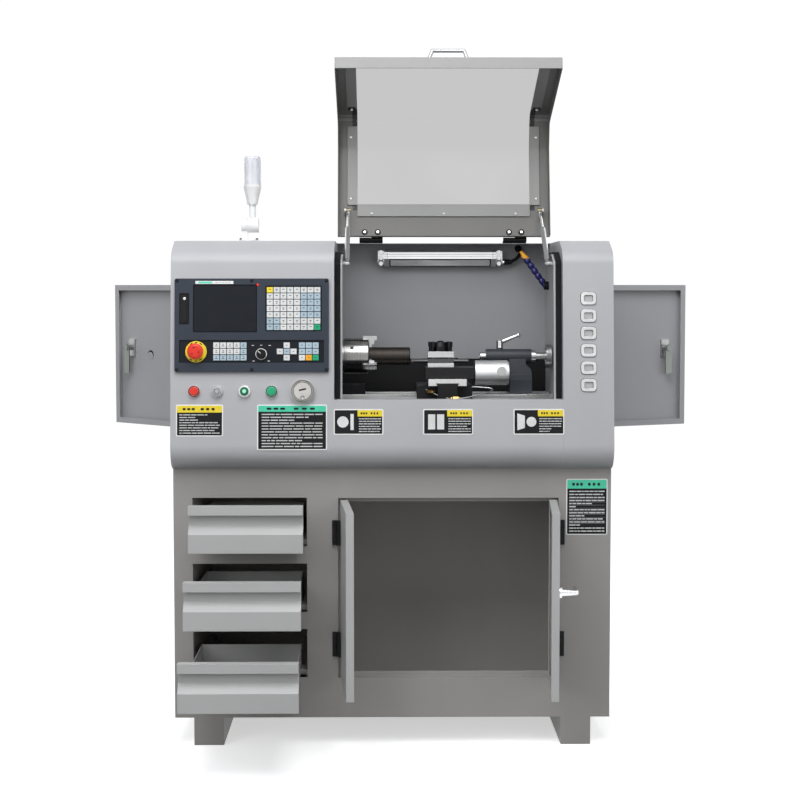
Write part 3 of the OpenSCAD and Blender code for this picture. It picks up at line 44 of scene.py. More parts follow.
# %% [markdown]
# ## Places on the part
#
# Most of the small pieces sit on the leaning front face or on the control panel that is fixed
# to it. A matrix for each such place has its X axis to the right, its Y axis up the face and
# its Z axis out of the face, so that a piece can be drawn flat round the origin and then placed.

# %% Main sizes and the matrices for places
MM = 0.001
LEAN = math.radians(5.7)
STAND_TOP, HOUSE_TOP = 748 * MM, 1354 * MM
FRONT_FOOT_Y = -318 * MM
BAY_MIDDLE = 148 * MM
SPINDLE_Z = 1037 * MM
PANEL_X, PANEL_Z = -370 * MM, STAND_TOP + 381 * MM
HOOD_PIN = (0, 0.090, 1.364)
HOOD_ANGLE = math.radians(102)
HOOD_SLANT = math.atan2(34, 88)


def face_y(z):
    """Y of the leaning front face at height z."""
    return FRONT_FOOT_Y + (z - STAND_TOP) * math.tan(LEAN)


def placed(origin, right, up):
    """A matrix with the given X and Y axes; its Z axis is their cross product."""
    right, up = Vector(right).normalized(), Vector(up).normalized()
    out = right.cross(up)
    rows = [(right[i], up[i], out[i], origin[i]) for i in range(3)]
    return Matrix([*rows, (0, 0, 0, 1)])


def on_front(x, z):
    """A place on the leaning front face."""
    return placed((x, face_y(z), z), (1, 0, 0), (0, math.sin(LEAN), math.cos(LEAN)))


def facing_front(x, y, z):
    """A place on an upright face that looks to the front."""
    return placed((x, y, z), (1, 0, 0), (0, 0, 1))


PANEL = on_front(PANEL_X, PANEL_Z)
HOOD_SHUT = Matrix.Translation(HOOD_PIN)
HOOD_OPEN = HOOD_SHUT @ Matrix.Rotation(-HOOD_ANGLE, 4, "X") @ HOOD_SHUT.inverted()
print("panel at", [round(v, 3) for v in PANEL.translation])

# %% [markdown]
# ## Shared effects
#
# Each effect that several materials use is a shader node group. A group gives out only
# colours, masks, values or normals; the surface itself stays in the material. All groups
# work in object coordinates, so the grain keeps its size and goes along with a moving piece.


# %% Helpers for node trees
def add(tree, kind, **settings):
    """A new node. Names that are sockets are set as values, the rest as properties."""
    node = tree.nodes.new(kind)
    for name, value in settings.items():
        if hasattr(node, name):
            setattr(node, name, value)
        else:
            node.inputs[name.replace("_", " ")].default_value = value
    return node


def wire(tree, source, target):
    """A link from one socket to another."""
    tree.links.new(source, target)


def math_node(tree, operation, a, b=None, clamp=False):
    """A math node whose inputs are sockets or numbers; returns its result."""
    node = add(tree, "ShaderNodeMath", operation=operation, use_clamp=clamp)
    for socket, value in zip(node.inputs, (a, b)):
        if value is None:
            continue
        if isinstance(value, (int, float)):
            socket.default_value = value
        else:
            wire(tree, value, socket)
    return node.outputs[0]


def mix_colors(tree, factor, a, b):
    """A colour mix whose inputs are sockets or colours; returns its result."""
    node = add(tree, "ShaderNodeMix", data_type="RGBA")
    for socket, value in zip((node.inputs[0], node.inputs[6], node.inputs[7]), (factor, a, b)):
        if isinstance(value, (int, float, tuple)):
            socket.default_value = value
        else:
            wire(tree, value, socket)
    return node.outputs[2]


def remap(tree, value, low, high, to_low=0.0, to_high=1.0):
    """Maps a value from one range to another, clamped."""
    node = add(tree, "ShaderNodeMapRange", clamp=True)
    wire(tree, value, node.inputs[0])
    for socket, number in zip(node.inputs[1:5], (low, high, to_low, to_high)):
        socket.default_value = number
    return node.outputs[0]


def object_noise(tree, scale, detail=2.0, stretch=(1.0, 1.0, 1.0)):
    """Noise in object coordinates, drawn out along the axes with a small stretch; returns its value."""
    where = add(tree, "ShaderNodeTexCoord")
    mapping = add(tree, "ShaderNodeMapping", Scale=stretch)
    noise = add(tree, "ShaderNodeTexNoise", Scale=scale, Detail=detail)
    wire(tree, where.outputs["Object"], mapping.inputs["Vector"])
    wire(tree, mapping.outputs[0], noise.inputs["Vector"])
    return noise.outputs["Fac"]


def new_group(name, inputs, outputs):
    """An empty shader group with the named sockets; returns it with its ends."""
    tree = bpy.data.node_groups.new(name, "ShaderNodeTree")
    for label, kind, value in inputs:
        socket = tree.interface.new_socket(name=label, in_out="INPUT", socket_type=kind)
        socket.default_value = value
    for label, kind in outputs:
        tree.interface.new_socket(name=label, in_out="OUTPUT", socket_type=kind)
    return tree, add(tree, "NodeGroupInput"), add(tree, "NodeGroupOutput")


def bumped(tree, depth, height, distance):
    """A normal with rounded edges and bumps; returns it."""
    rounding = add(tree, "ShaderNodeBevel", samples=4, Radius=EDGE_RADIUS)
    bump = add(tree, "ShaderNodeBump", Distance=distance)
    wire(tree, depth, bump.inputs["Strength"])
    wire(tree, height, bump.inputs["Height"])
    wire(tree, rounding.outputs[0], bump.inputs["Normal"])
    return bump.outputs[0]


EDGE_RADIUS = 0.0008
COLOR, FLOAT, VECTOR = "NodeSocketColor", "NodeSocketFloat", "NodeSocketVector"
print("helpers ready")

# %% [markdown]
# ** Coat** is baked powder paint or enamel. A fine orange-peel grain bends the light, a slow
# drift of tone keeps wide sheets from looking flat, and the bevel node rounds every sharp edge
# a little, which also gives the mask for a painted highlight that makes the edges paler.

# %% The coat group
coat, coat_in, coat_out = new_group(
    "Coat",
    [
        ("Color", COLOR, (0.4, 0.4, 0.4, 1)), ("Grain", FLOAT, 700.0),
        ("Peel", FLOAT, 0.05), ("Round", FLOAT, 0.0012),
    ],
    [("Color", COLOR), ("Roughness", FLOAT), ("Normal", VECTOR)],
)
drift = remap(coat, object_noise(coat, 2.6, 3.0), 0.3, 0.7, -0.5, 0.5)
streaks = remap(coat, object_noise(coat, 9.0, 4.0, (1.0, 1.0, 0.25)), 0.35, 0.75)
tone = add(coat, "ShaderNodeHueSaturation")
wire(coat, coat_in.outputs["Color"], tone.inputs["Color"])
wire(coat, math_node(coat, "ADD", math_node(coat, "MULTIPLY", drift, 0.07), 1.0), tone.inputs["Value"])
worn = add(coat, "ShaderNodeHueSaturation", Saturation=1.1, Value=0.82)
wire(coat, tone.outputs[0], worn.inputs["Color"])
soiled = mix_colors(coat, math_node(coat, "MULTIPLY", streaks, 0.25), tone.outputs[0], worn.outputs[0])
rounding = add(coat, "ShaderNodeBevel", samples=4)
wire(coat, coat_in.outputs["Round"], rounding.inputs["Radius"])
plain = add(coat, "ShaderNodeNewGeometry")
facing = add(coat, "ShaderNodeVectorMath", operation="DOT_PRODUCT")
wire(coat, rounding.outputs[0], facing.inputs[0])
wire(coat, plain.outputs["Normal"], facing.inputs[1])
# Painted highlight: the rounded edges are lightened in the colour itself, not by the lamps.
edge_highlight = remap(coat, facing.outputs["Value"], 0.98, 0.75, 0.0, 0.35)
bright = add(coat, "ShaderNodeHueSaturation", Value=1.9)
wire(coat, soiled, bright.inputs["Color"])
wire(coat, mix_colors(coat, edge_highlight, soiled, bright.outputs[0]), coat_out.inputs["Color"])
grain = add(coat, "ShaderNodeTexNoise", Detail=1.0)
spot = add(coat, "ShaderNodeTexCoord")
wire(coat, spot.outputs["Object"], grain.inputs["Vector"])
wire(coat, coat_in.outputs["Grain"], grain.inputs["Scale"])
peel = add(coat, "ShaderNodeBump", Distance=0.0005)
wire(coat, coat_in.outputs["Peel"], peel.inputs["Strength"])
wire(coat, grain.outputs["Fac"], peel.inputs["Height"])
wire(coat, rounding.outputs[0], peel.inputs["Normal"])
wire(coat, peel.outputs[0], coat_out.inputs["Normal"])
wire(coat, remap(coat, grain.outputs["Fac"], 0.2, 0.8, 0.36, 0.5), coat_out.inputs["Roughness"])
print("group", coat.name, len(coat.nodes), "nodes")

# %% [markdown]
# **Worked steel** has marks that the tool left. They run one way on a ground face and in
# rings on a turned piece. A stretched noise makes the first; for the second the noise is read
# at the distance from the spindle's axis and along it, which is the same all the way round.

# %% The ground and the turned group
MARK_DEPTH = 0.0003
steel_gives = [("Roughness", FLOAT), ("Tone", FLOAT), ("Normal", VECTOR)]
ground, ground_in, ground_out = new_group(
    "Ground steel", [("Stretch", VECTOR, (4, 500, 500)), ("Depth", FLOAT, 0.1)], steel_gives
)
spot = add(ground, "ShaderNodeTexCoord")
scaled = add(ground, "ShaderNodeVectorMath", operation="MULTIPLY")
wire(ground, spot.outputs["Object"], scaled.inputs[0])
wire(ground, ground_in.outputs["Stretch"], scaled.inputs[1])
marks = add(ground, "ShaderNodeTexNoise", Scale=1.0, Detail=3.0)
wire(ground, scaled.outputs[0], marks.inputs["Vector"])
scratches = marks.outputs["Fac"]
stains = object_noise(ground, 14.0, 4.0)
wire(ground, remap(ground, scratches, 0.3, 0.7, 0.2, 0.42), ground_out.inputs["Roughness"])
wire(ground, remap(ground, stains, 0.3, 0.75, 1.0, 0.75), ground_out.inputs["Tone"])
wire(ground, bumped(ground, ground_in.outputs["Depth"], scratches, MARK_DEPTH), ground_out.inputs["Normal"])

turned, turned_in, turned_out = new_group(
    "Turned steel", [("Pitch", FLOAT, 900.0), ("Depth", FLOAT, 0.1)], steel_gives
)
spot = add(turned, "ShaderNodeTexCoord")
parts = add(turned, "ShaderNodeSeparateXYZ")
wire(turned, spot.outputs["Object"], parts.inputs[0])
height = math_node(turned, "SUBTRACT", parts.outputs["Z"], SPINDLE_Z)
squares = [math_node(turned, "POWER", side, 2.0) for side in (height, parts.outputs["Y"])]
radius = math_node(turned, "SQRT", math_node(turned, "ADD", *squares))
line = math_node(turned, "ADD", math_node(turned, "MULTIPLY", parts.outputs["X"], 0.8), radius)
rings = add(turned, "ShaderNodeTexNoise", noise_dimensions="1D", Detail=2.0)
wire(turned, line, rings.inputs["W"])
wire(turned, turned_in.outputs["Pitch"], rings.inputs["Scale"])
grooves = rings.outputs["Fac"]
stains = object_noise(turned, 30.0, 3.0)
wire(turned, remap(turned, grooves, 0.3, 0.7, 0.16, 0.34), turned_out.inputs["Roughness"])
wire(turned, remap(turned, stains, 0.35, 0.75, 1.0, 0.72), turned_out.inputs["Tone"])
wire(turned, bumped(turned, turned_in.outputs["Depth"], grooves, MARK_DEPTH), turned_out.inputs["Normal"])
print("groups", ground.name, "and", turned.name)

# %% [markdown]
# **Moulded** is for plastic and rubber: a slight unevenness of gloss, rounded edges, and a
# little wear in the colour.

# %% The moulded group
moulded, moulded_in, moulded_out = new_group(
    "Moulded",
    [
        ("Color", COLOR, (0.5, 0.5, 0.5, 1)), ("Low", FLOAT, 0.3), ("High", FLOAT, 0.4),
        ("Grain", FLOAT, 400.0), ("Depth", FLOAT, 0.02),
    ],
    [("Color", COLOR), ("Roughness", FLOAT), ("Normal", VECTOR)],
)
spot = add(moulded, "ShaderNodeTexCoord")
skin = add(moulded, "ShaderNodeTexNoise", Detail=2.0)
wire(moulded, spot.outputs["Object"], skin.inputs["Vector"])
wire(moulded, moulded_in.outputs["Grain"], skin.inputs["Scale"])
bent = bumped(moulded, moulded_in.outputs["Depth"], skin.outputs["Fac"], 0.0005)
gloss = add(moulded, "ShaderNodeMapRange", clamp=True)
wire(moulded, object_noise(moulded, 40.0, 2.0), gloss.inputs[0])
gloss.inputs[1].default_value, gloss.inputs[2].default_value = 0.3, 0.7
wire(moulded, moulded_in.outputs["Low"], gloss.inputs[3])
wire(moulded, moulded_in.outputs["High"], gloss.inputs[4])
wear = remap(moulded, object_noise(moulded, 25.0, 4.0), 0.35, 0.8, 1.0, 0.86)
aged = add(moulded, "ShaderNodeHueSaturation")
wire(moulded, moulded_in.outputs["Color"], aged.inputs["Color"])
wire(moulded, wear, aged.inputs["Value"])
wire(moulded, aged.outputs[0], moulded_out.inputs["Color"])
wire(moulded, gloss.outputs[0], moulded_out.inputs["Roughness"])
wire(moulded, bent, moulded_out.inputs["Normal"])
print("group", moulded.name)

# %% [markdown]
# ## Materials
#
# Every material is a Principled surface fed by one of the groups.


# %% Makers of materials
def surface(name, group, values):
    """A material with one group in front of its Principled surface."""
    made = bpy.data.materials.new(name)
    made.use_nodes = True
    tree = made.node_tree
    shader = tree.nodes["Principled BSDF"]
    effect = add(tree, "ShaderNodeGroup", node_tree=group)
    for label, value in values.items():
        effect.inputs[label].default_value = value
    wire(tree, effect.outputs["Roughness"], shader.inputs["Roughness"])
    wire(tree, effect.outputs["Normal"], shader.inputs["Normal"])
    return made, tree, shader, effect


def painted(name, color, grain=700.0, peel=0.05, rounding=0.0012, shine=0.5):
    """Paint on sheet metal or on a casting."""
    values = {"Color": (*color, 1), "Grain": grain, "Peel": peel, "Round": rounding}
    made, tree, shader, effect = surface(name, coat, values)
    wire(tree, effect.outputs["Color"], shader.inputs["Base Color"])
    shader.inputs["Specular IOR Level"].default_value = shine
    return made


def metal(name, group, color, values, extra_rough=0.0, stain=None):
    """Bare metal with the marks of its working, duller or stained in places."""
    made, tree, shader, effect = surface(name, group, values)
    shader.inputs["Metallic"].default_value = 1.0
    stain = stain or tuple(c * 0.55 for c in color)
    worn = mix_colors(tree, effect.outputs["Tone"], (*stain, 1), (*color, 1))
    wire(tree, worn, shader.inputs["Base Color"])
    wire(tree, math_node(tree, "ADD", effect.outputs["Roughness"], extra_rough), shader.inputs["Roughness"])
    return made


def plastic(name, color, low=0.28, high=0.4, grain=400.0, depth=0.02, shine=0.4):
    """Moulded plastic or rubber."""
    values = {"Color": (*color, 1), "Low": low, "High": high, "Grain": grain, "Depth": depth}
    made, tree, shader, effect = surface(name, moulded, values)
    wire(tree, effect.outputs["Color"], shader.inputs["Base Color"])
    shader.inputs["Specular IOR Level"].default_value = shine
    return made


def ground_marks(x, y, z, depth):
    """Values of the ground group: how fine the marks are along each axis, and how deep."""
    return {"Stretch": (x, y, z), "Depth": depth}


def turned_marks(pitch, depth):
    """Values of the turned group: how close the rings are, and how deep."""
    return {"Pitch": pitch, "Depth": depth}


M = {
    "housing": painted("Housing paint", (0.42, 0.42, 0.435)),
    "stand": painted("Stand paint", (0.315, 0.305, 0.293)),
    # Painted light: the cupboard's inside faces get a paler paint than the stand, to lift their shade.
    "cupboard_painted_light": painted("Cupboard inside, paler for painted light", (0.475, 0.455, 0.435)),
    "front": painted("Drawer and door paint", (0.435, 0.435, 0.43)),
    "bay": painted("Bay paint", (0.30, 0.303, 0.315)),
    # Painted shade: the hood's inside and the strips that hold its pane are darker greys than the housing.
    "hood_inside_shade": painted("Hood inside, painted shade", (0.178, 0.174, 0.166), shine=0.3),
    "hood_strip": painted("Hood strip, lighter painted shade", (0.27, 0.268, 0.262)),
    "black_enamel": painted(
        "Black enamel", (0.011, 0.011, 0.012), grain=260.0, peel=0.16, rounding=0.002, shine=0.2
    ),
    "tail_enamel": painted(
        "Tailstock enamel", (0.033, 0.037, 0.045), grain=260.0, peel=0.14, rounding=0.002, shine=0.3
    ),
    "hinge": painted("Hinge coat", (0.009, 0.009, 0.010), grain=900.0, peel=0.1, rounding=0.001, shine=0.15),
    "ground": metal("Ground ways", ground, (0.84, 0.84, 0.84), ground_marks(3, 60, 60, 0.006), -0.02),
    "cross_ground": metal("Ground slide", ground, (0.66, 0.66, 0.66), ground_marks(500, 3, 500, 0.06)),
    "plate_steel": metal("Tool head steel", ground, (0.55, 0.56, 0.57), ground_marks(4, 4, 400, 0.06)),
    "dark_steel": metal(
        "Blackened steel", ground, (0.020, 0.020, 0.022), ground_marks(60, 60, 60, 0.15), 0.12
    ),
    "tool_steel": metal("Tool steel", ground, (0.085, 0.085, 0.09), ground_marks(40, 40, 40, 0.1), 0.1),
    "turned": metal("Turned steel", turned, (0.50, 0.50, 0.505), turned_marks(1600.0, 0.03)),
    "chuck": metal("Chuck steel", turned, (0.29, 0.285, 0.28), turned_marks(1600.0, 0.02), -0.04),
    "bar": metal(
        "Rolled bar", turned, (0.036, 0.034, 0.032), turned_marks(260.0, 0.06), 0.24, (0.062, 0.038, 0.026)
    ),
    "alu": metal("Cast aluminium", ground, (0.62, 0.625, 0.635), ground_marks(5, 160, 160, 0.05), 0.2),
    "lamp_alu": metal("Drawn aluminium", ground, (0.86, 0.865, 0.875), ground_marks(2, 300, 420, 0.1), 0.06),
    "dial_alu": metal("Dial aluminium", ground, (0.42, 0.41, 0.395), ground_marks(120, 120, 120, 0.03), 0.1),
    "zinc": metal("Zinc plate", ground, (0.46, 0.47, 0.47), ground_marks(90, 90, 90, 0.06), 0.05),
    "yellow_zinc": metal(
        "Yellow zinc plate", ground, (0.25, 0.215, 0.13), ground_marks(90, 90, 90, 0.06), 0.08
    ),
    "strut": metal("Strut tube", ground, (0.36, 0.365, 0.37), ground_marks(80, 30, 30, 0.06), 0.12),
    "chrome": metal("Chrome", ground, (0.74, 0.74, 0.75), ground_marks(20, 20, 20, 0.01), -0.14),
    "brass": metal("Brass", ground, (0.46, 0.29, 0.10), ground_marks(90, 90, 90, 0.05)),
    "latch": metal("Latch zinc", ground, (0.25, 0.27, 0.255), ground_marks(90, 90, 90, 0.06), 0.08),
    "rubber": plastic("Rubber", (0.008, 0.008, 0.009), 0.55, 0.75, 600.0, 0.06, shine=0.12),
    "film": plastic("Panel film", (0.030, 0.038, 0.053), 0.4, 0.5, 900.0, 0.05, shine=0.2),
    # Painted shade: the darker film marks the recessed fields of the panel.
    "film_recess_shade": plastic("Panel film, painted recess shade", (0.009, 0.011, 0.015), 0.35, 0.45, 900.0, 0.04, shine=0.12),
    "display": plastic("Display", (0.034, 0.033, 0.030), 0.08, 0.13, 200.0, 0.0, shine=0.4),
    "black": plastic("Black plastic", (0.009, 0.009, 0.010), 0.3, 0.42, shine=0.15),
    "white": plastic("White plastic", (0.84, 0.84, 0.83), 0.3, 0.4),
    "cream": plastic("Key film, light", (0.70, 0.71, 0.70), 0.35, 0.45),
    "sky": plastic("Key film, blue", (0.40, 0.51, 0.58), 0.35, 0.45),
    "yellow": plastic("Yellow", (0.95, 0.74, 0.05), 0.3, 0.4, shine=0.25),
    "orange": plastic("Orange", (0.92, 0.42, 0.03), 0.3, 0.4, shine=0.25),
    "red": plastic("Red", (0.78, 0.045, 0.025), 0.22, 0.32, shine=0.25),
    "dark_red": plastic("Dark red", (0.26, 0.012, 0.01), 0.3, 0.4, shine=0.2),
    "green": plastic("Green", (0.02, 0.40, 0.19), 0.28, 0.4, shine=0.25),
    "deep_green": plastic("Deep green", (0.012, 0.16, 0.085), 0.28, 0.4, shine=0.2),
    "teal": plastic("Teal", (0.10, 0.70, 0.45), 0.3, 0.4, shine=0.25),
    "lit": plastic("Lit green", (0.42, 0.85, 0.58), 0.25, 0.35),
    "grey": plastic("Grey plastic", (0.46, 0.46, 0.47), 0.3, 0.4),
    "blue": plastic("Blue hose", (0.020, 0.018, 0.125), 0.25, 0.35, shine=0.35),
}
print("materials:", len(M))

# %% [markdown]
# The hood's pane lets light straight through, takes part of it away and adds a weak, smeared
# reflection. The lamp's cover spreads light. The tower's lens is smoked: it is pale where
# the view goes straight in, and dark towards its sides, where the path through it is long.


# %% Clear materials
PANE_SHINE = 0.006


def clear_pane(name, tint, gloss):
    """A thin clear sheet: transparent, with a weak reflection."""
    made = bpy.data.materials.new(name)
    made.use_nodes = True
    tree = made.node_tree
    tree.nodes.remove(tree.nodes["Principled BSDF"])
    through = add(tree, "ShaderNodeBsdfTransparent", Color=(*tint, 1))
    mirror = add(tree, "ShaderNodeBsdfGlossy")
    smear = object_noise(tree, 6.0, 3.0)
    wire(tree, remap(tree, smear, 0.35, 0.7, gloss * 0.6, gloss * 1.6), mirror.inputs["Roughness"])
    joined = add(tree, "ShaderNodeMixShader")
    joined.inputs[0].default_value = PANE_SHINE
    wire(tree, through.outputs[0], joined.inputs[1])
    wire(tree, mirror.outputs[0], joined.inputs[2])
    wire(tree, joined.outputs[0], tree.nodes["Material Output"].inputs["Surface"])
    return made


def cover(name, color, low, high):
    """A smooth moulded cover; returns the parts of its material."""
    return surface(name, moulded, {"Color": (*color, 1), "Low": low, "High": high, "Depth": 0.0})


M["pane"] = clear_pane("Window pane", (0.745, 0.747, 0.745), 0.3)
milky, milky_tree, milky_shader, milky_effect = cover("Milky lens", (0.82, 0.82, 0.84), 0.1, 0.18)
wire(milky_tree, milky_effect.outputs["Color"], milky_shader.inputs["Base Color"])
milky_shader.inputs["Transmission Weight"].default_value = 0.35
M["milky"] = milky
smoked, smoked_tree, smoked_shader, smoked_effect = cover("Smoked lens", (0.70, 0.71, 0.75), 0.08, 0.15)
slant = add(smoked_tree, "ShaderNodeLayerWeight", Blend=0.5)
thick = remap(smoked_tree, slant.outputs["Facing"], 0.5, 0.72)
smoke = mix_colors(smoked_tree, thick, smoked_effect.outputs["Color"], (0.13, 0.13, 0.14, 1))
wire(smoked_tree, smoke, smoked_shader.inputs["Base Color"])
M["smoked"] = smoked
print("clear materials: pane, milky cover, smoked lens")

# %% [markdown]
# ## Smooth bends
#
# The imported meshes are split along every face. A geometry node modifier joins the points again
# and shades all shallow edges smooth, so that folded sheet bends without facets, while sharp
# edges stay sharp.

# %% The smoothing modifier
JOIN_DISTANCE, SHARP_ANGLE = 0.00001, math.radians(28)
bends = bpy.data.node_groups.new("Smooth bends", "GeometryNodeTree")
bends.interface.new_socket(name="Geometry", in_out="INPUT", socket_type="NodeSocketGeometry")
bends.interface.new_socket(name="Geometry", in_out="OUTPUT", socket_type="NodeSocketGeometry")
start, end = add(bends, "NodeGroupInput"), add(bends, "NodeGroupOutput")
plain_normals = add(bends, "GeometryNodeRemoveAttribute", Name="custom_normal")
joined = add(bends, "GeometryNodeMergeByDistance", Distance=JOIN_DISTANCE)
faces_smooth = add(bends, "GeometryNodeSetShadeSmooth", domain="FACE", Shade_Smooth=True)
edges_sharp = add(bends, "GeometryNodeSetShadeSmooth", domain="EDGE", Shade_Smooth=False)
angle = add(bends, "GeometryNodeInputMeshEdgeAngle")
steep = add(bends, "FunctionNodeCompare", operation="GREATER_THAN")
steep.inputs[1].default_value = SHARP_ANGLE
wire(bends, angle.outputs["Unsigned Angle"], steep.inputs[0])
wire(bends, start.outputs[0], plain_normals.inputs["Geometry"])
wire(bends, plain_normals.outputs[0], joined.inputs["Geometry"])
wire(bends, joined.outputs[0], faces_smooth.inputs["Geometry"])
wire(bends, faces_smooth.outputs[0], edges_sharp.inputs["Geometry"])
wire(bends, steep.outputs[0], edges_sharp.inputs["Selection"])
wire(bends, edges_sharp.outputs[0], end.inputs[0])
for node in nodes.values():
    node.modifiers.new("Smooth bends", "NODES").node_group = bends
print("smoothed", len(nodes), "nodes")


# %% [markdown]
# ## Materials on the CAD nodes
#
# A node gets one main material. Where a casting has ground faces, or a piece is joined from
# several, the faces that fit a rule on their middle and their normal get another one.


# %% Dress the nodes
def dress(name, main, *others):
    """Gives a node its main material, and other materials to the faces that fit their rules."""
    mesh = nodes[name].data
    mesh.materials.clear()
    for key in (main, *(key for key, rule in others)):
        mesh.materials.append(M[key])
    for face in mesh.polygons:
        face.material_index = 0
        for number, (key, rule) in enumerate(others, 1):
            if rule(face.center, face.normal):
                face.material_index = number


BACK_SHEET_Y, DIAL_SIDE_X = 0.2475, -0.28
BEARING_NOSE_X, MOTOR_SHAFT_X = -0.15, -0.36
LAMP_WINDOW_TOP, HOSE_FOOT_X, HOSE_NOZZLE_Z = 1.3112, 0.437, 1.3115
TURRET_MOTOR_X, TAIL_COLLAR_X = 0.2285, 0.3905
TURRET_TOP = 1010.8 * MM
STRUT_FOOT, STRUT_HEAD = (-0.190, 1.292), (0.0602, 1.445)
STRUT_EYE_RADIUS = 0.0085


def in_cupboard(center, normal):
    """Faces that look towards the middle of the cupboard."""
    middle = Vector((0.150, 0.0, 0.425))
    return center.y > -0.215 and center.z > 0.077 and (middle - center).dot(normal) > 0


def bed_way(center, normal):
    """The two ground ways on top of the bed."""
    return 0.038 < abs(center.y) < 0.0752 and 0.911 < center.z < 0.9345


def lamp_knob(center, normal):
    """The round knobs in front of the lamp's end brackets."""
    return not -0.0212 <= center.x <= 0.3022 and center.y < 0.1645


def strut_eye(middle):
    """Faces of a strut's eye round a middle given by Y and Z."""
    def rule(center, normal):
        return math.hypot(center.y - middle[0], center.z - middle[1]) < STRUT_EYE_RADIUS
    return rule


ONE_FINISH = {
    "housing": ("left_housing", "right_housing", "front_apron"),
    "front": ("drawer_top", "drawer_middle", "drawer_bottom"),
    "hinge": ("hinge_blocks",),
    "rubber": ("bay_seals", "drive_belt", "lamp_cable"),
    "white": ("tower_foot", "tower_arm"),
    "smoked": ("tower_lens",),
    "pane": ("hood_window",),
    "strut": ("hood_handle",),
    "latch": ("left_latch", "right_latch"),
    "chrome": ("door_lever", "lock_lever"),
    "turned": ("spindle", "jaw_1", "jaw_2", "jaw_3", "quill", "handwheel", "z_screw"),
    "chuck": ("chuck_body",),
    "bar": ("bar_stock",),
    "alu": ("motor_pulley",),
    "black_enamel": ("saddle",),
    "cross_ground": ("cross_slide",),
    "red": ("estop_head", "stop_button"),
    "black": ("selector_knob",),
    "grey": ("white_button",),
    "deep_green": ("lit_button",),
    "green": ("green_button",),
    "dial_alu": ("pulse_dial",),
}
for key, names in ONE_FINISH.items():
    for name in names:
        dress(name, key)
# The cupboard's inside faces get the paler paint as painted light in its shade.
dress("cabinet", "stand", ("cupboard_painted_light", in_cupboard))
dress("rear_panel", "bay", ("housing", lambda c, n: c.y > BACK_SHEET_Y or n.z > 0.5))
dress("button_bezels", "chrome", ("dial_alu", lambda c, n: c.x > DIAL_SIDE_X))
dress("lathe_bed", "black_enamel", ("ground", bed_way))
dress("headstock", "black_enamel", ("dark_steel", lambda c, n: c.x > BEARING_NOSE_X))
dress("spindle_motor", "tail_enamel", ("turned", lambda c, n: c.x < MOTOR_SHAFT_X))
dress("lamp", "bay", ("lamp_alu", lambda c, n: c.z > LAMP_WINDOW_TOP), ("chrome", lamp_knob))
dress(
    "coolant_hose", "blue",
    ("black", lambda c, n: c.x > HOSE_FOOT_X), ("orange", lambda c, n: c.z > HOSE_NOZZLE_Z),
)
for side in ("left", "right"):
    dress(side + "_strut_tube", "strut", ("latch", strut_eye(STRUT_FOOT)))
    dress(side + "_strut_rod", "chrome", ("yellow_zinc", strut_eye(STRUT_HEAD)))
dress("turret_base", "black_enamel", ("alu", lambda c, n: c.x > TURRET_MOTOR_X))
dress(
    "tool_head", "plate_steel",
    ("dark_steel", lambda c, n: c.z > TURRET_TOP + 0.0425),
    ("tool_steel", lambda c, n: TURRET_TOP + 0.0112 < c.z < TURRET_TOP + 0.0265),
)
dress("tailstock_body", "tail_enamel", ("turned", lambda c, n: c.x > TAIL_COLLAR_X))
print("dressed the plain nodes")

# %% [markdown]
# The hood's inside gets a far darker paint than its outside, and the strips that hold the pane a
# less dark one: painted shade under the raised hood. A face belongs to the inside if it looks
# towards the hood's hollow once the hood is thought shut, so the rule first turns the face
# back by the opening angle. Moving hinge halves keep their black coat.

# %% Hood, doors and their black hinge halves
shut = HOOD_OPEN.inverted()
HOOD_HINGES = (BAY_MIDDLE - 0.206, BAY_MIDDLE + 0.202)
STRUT_PLATES = (-0.1305, 0.4265)
HINGE_HALF = 0.0335


def hood_depth(point):
    """How deep a point of the shut hood lies under the nearest of its three outer planes."""
    top = HOUSE_TOP - point.z
    slope = (point.y + 0.173) * math.sin(HOOD_SLANT) - (point.z - HOUSE_TOP) * math.cos(HOOD_SLANT)
    front = (point.y - face_y(point.z)) * math.cos(LEAN)
    return min(top, slope, front)


def hood_inside_shade(center, normal):
    """Faces of the hood that look into the bay when it is shut."""
    c, n = shut @ center, shut.to_3x3() @ normal
    sides = n.x * (BAY_MIDDLE - c.x) > 0.05
    return (n.y > 0.3 or n.z < -0.3 or sides) and hood_depth(c) > 0.0015


def hood_hinge(center, normal):
    """The hood's halves of its two hinges."""
    c = shut @ center
    near = min(abs(c.x - x) for x in HOOD_HINGES) < HINGE_HALF
    return near and c.z > HOUSE_TOP + 0.0003 and c.y > 0.06


def hood_strip(center, normal):
    """The strips that hold the pane, 5 to 7 mm under the skin of the shut hood, and the lip."""
    c, n = shut @ center, shut.to_3x3() @ normal
    strip_or_lip = 0.0046 < hood_depth(c) < 0.0078 or c.z < 0.942
    return hood_inside_shade(center, normal) and abs(n.x) < 0.5 and strip_or_lip


def strut_plate(center, normal):
    """The plates that carry the upper strut bolts."""
    c = shut @ center
    near = min(abs(c.x - x) for x in STRUT_PLATES) < 0.0028
    return near and abs(c.y - 0.017) < 0.0095 and c.z < HOUSE_TOP - 0.008


dress(
    "hood_frame", "housing",
    ("hood_inside_shade", hood_inside_shade), ("hood_strip", hood_strip), ("zinc", strut_plate), ("hinge", hood_hinge),
)


def hinge_half(pin, heights, reach=0.0165):
    """Faces round a door's pin, at the heights of its hinges."""
    def rule(center, normal):
        flat = math.hypot(center.x - pin[0], center.y - pin[1])
        return flat < reach and any(abs(center.z - z) < HINGE_HALF for z in heights)
    return rule


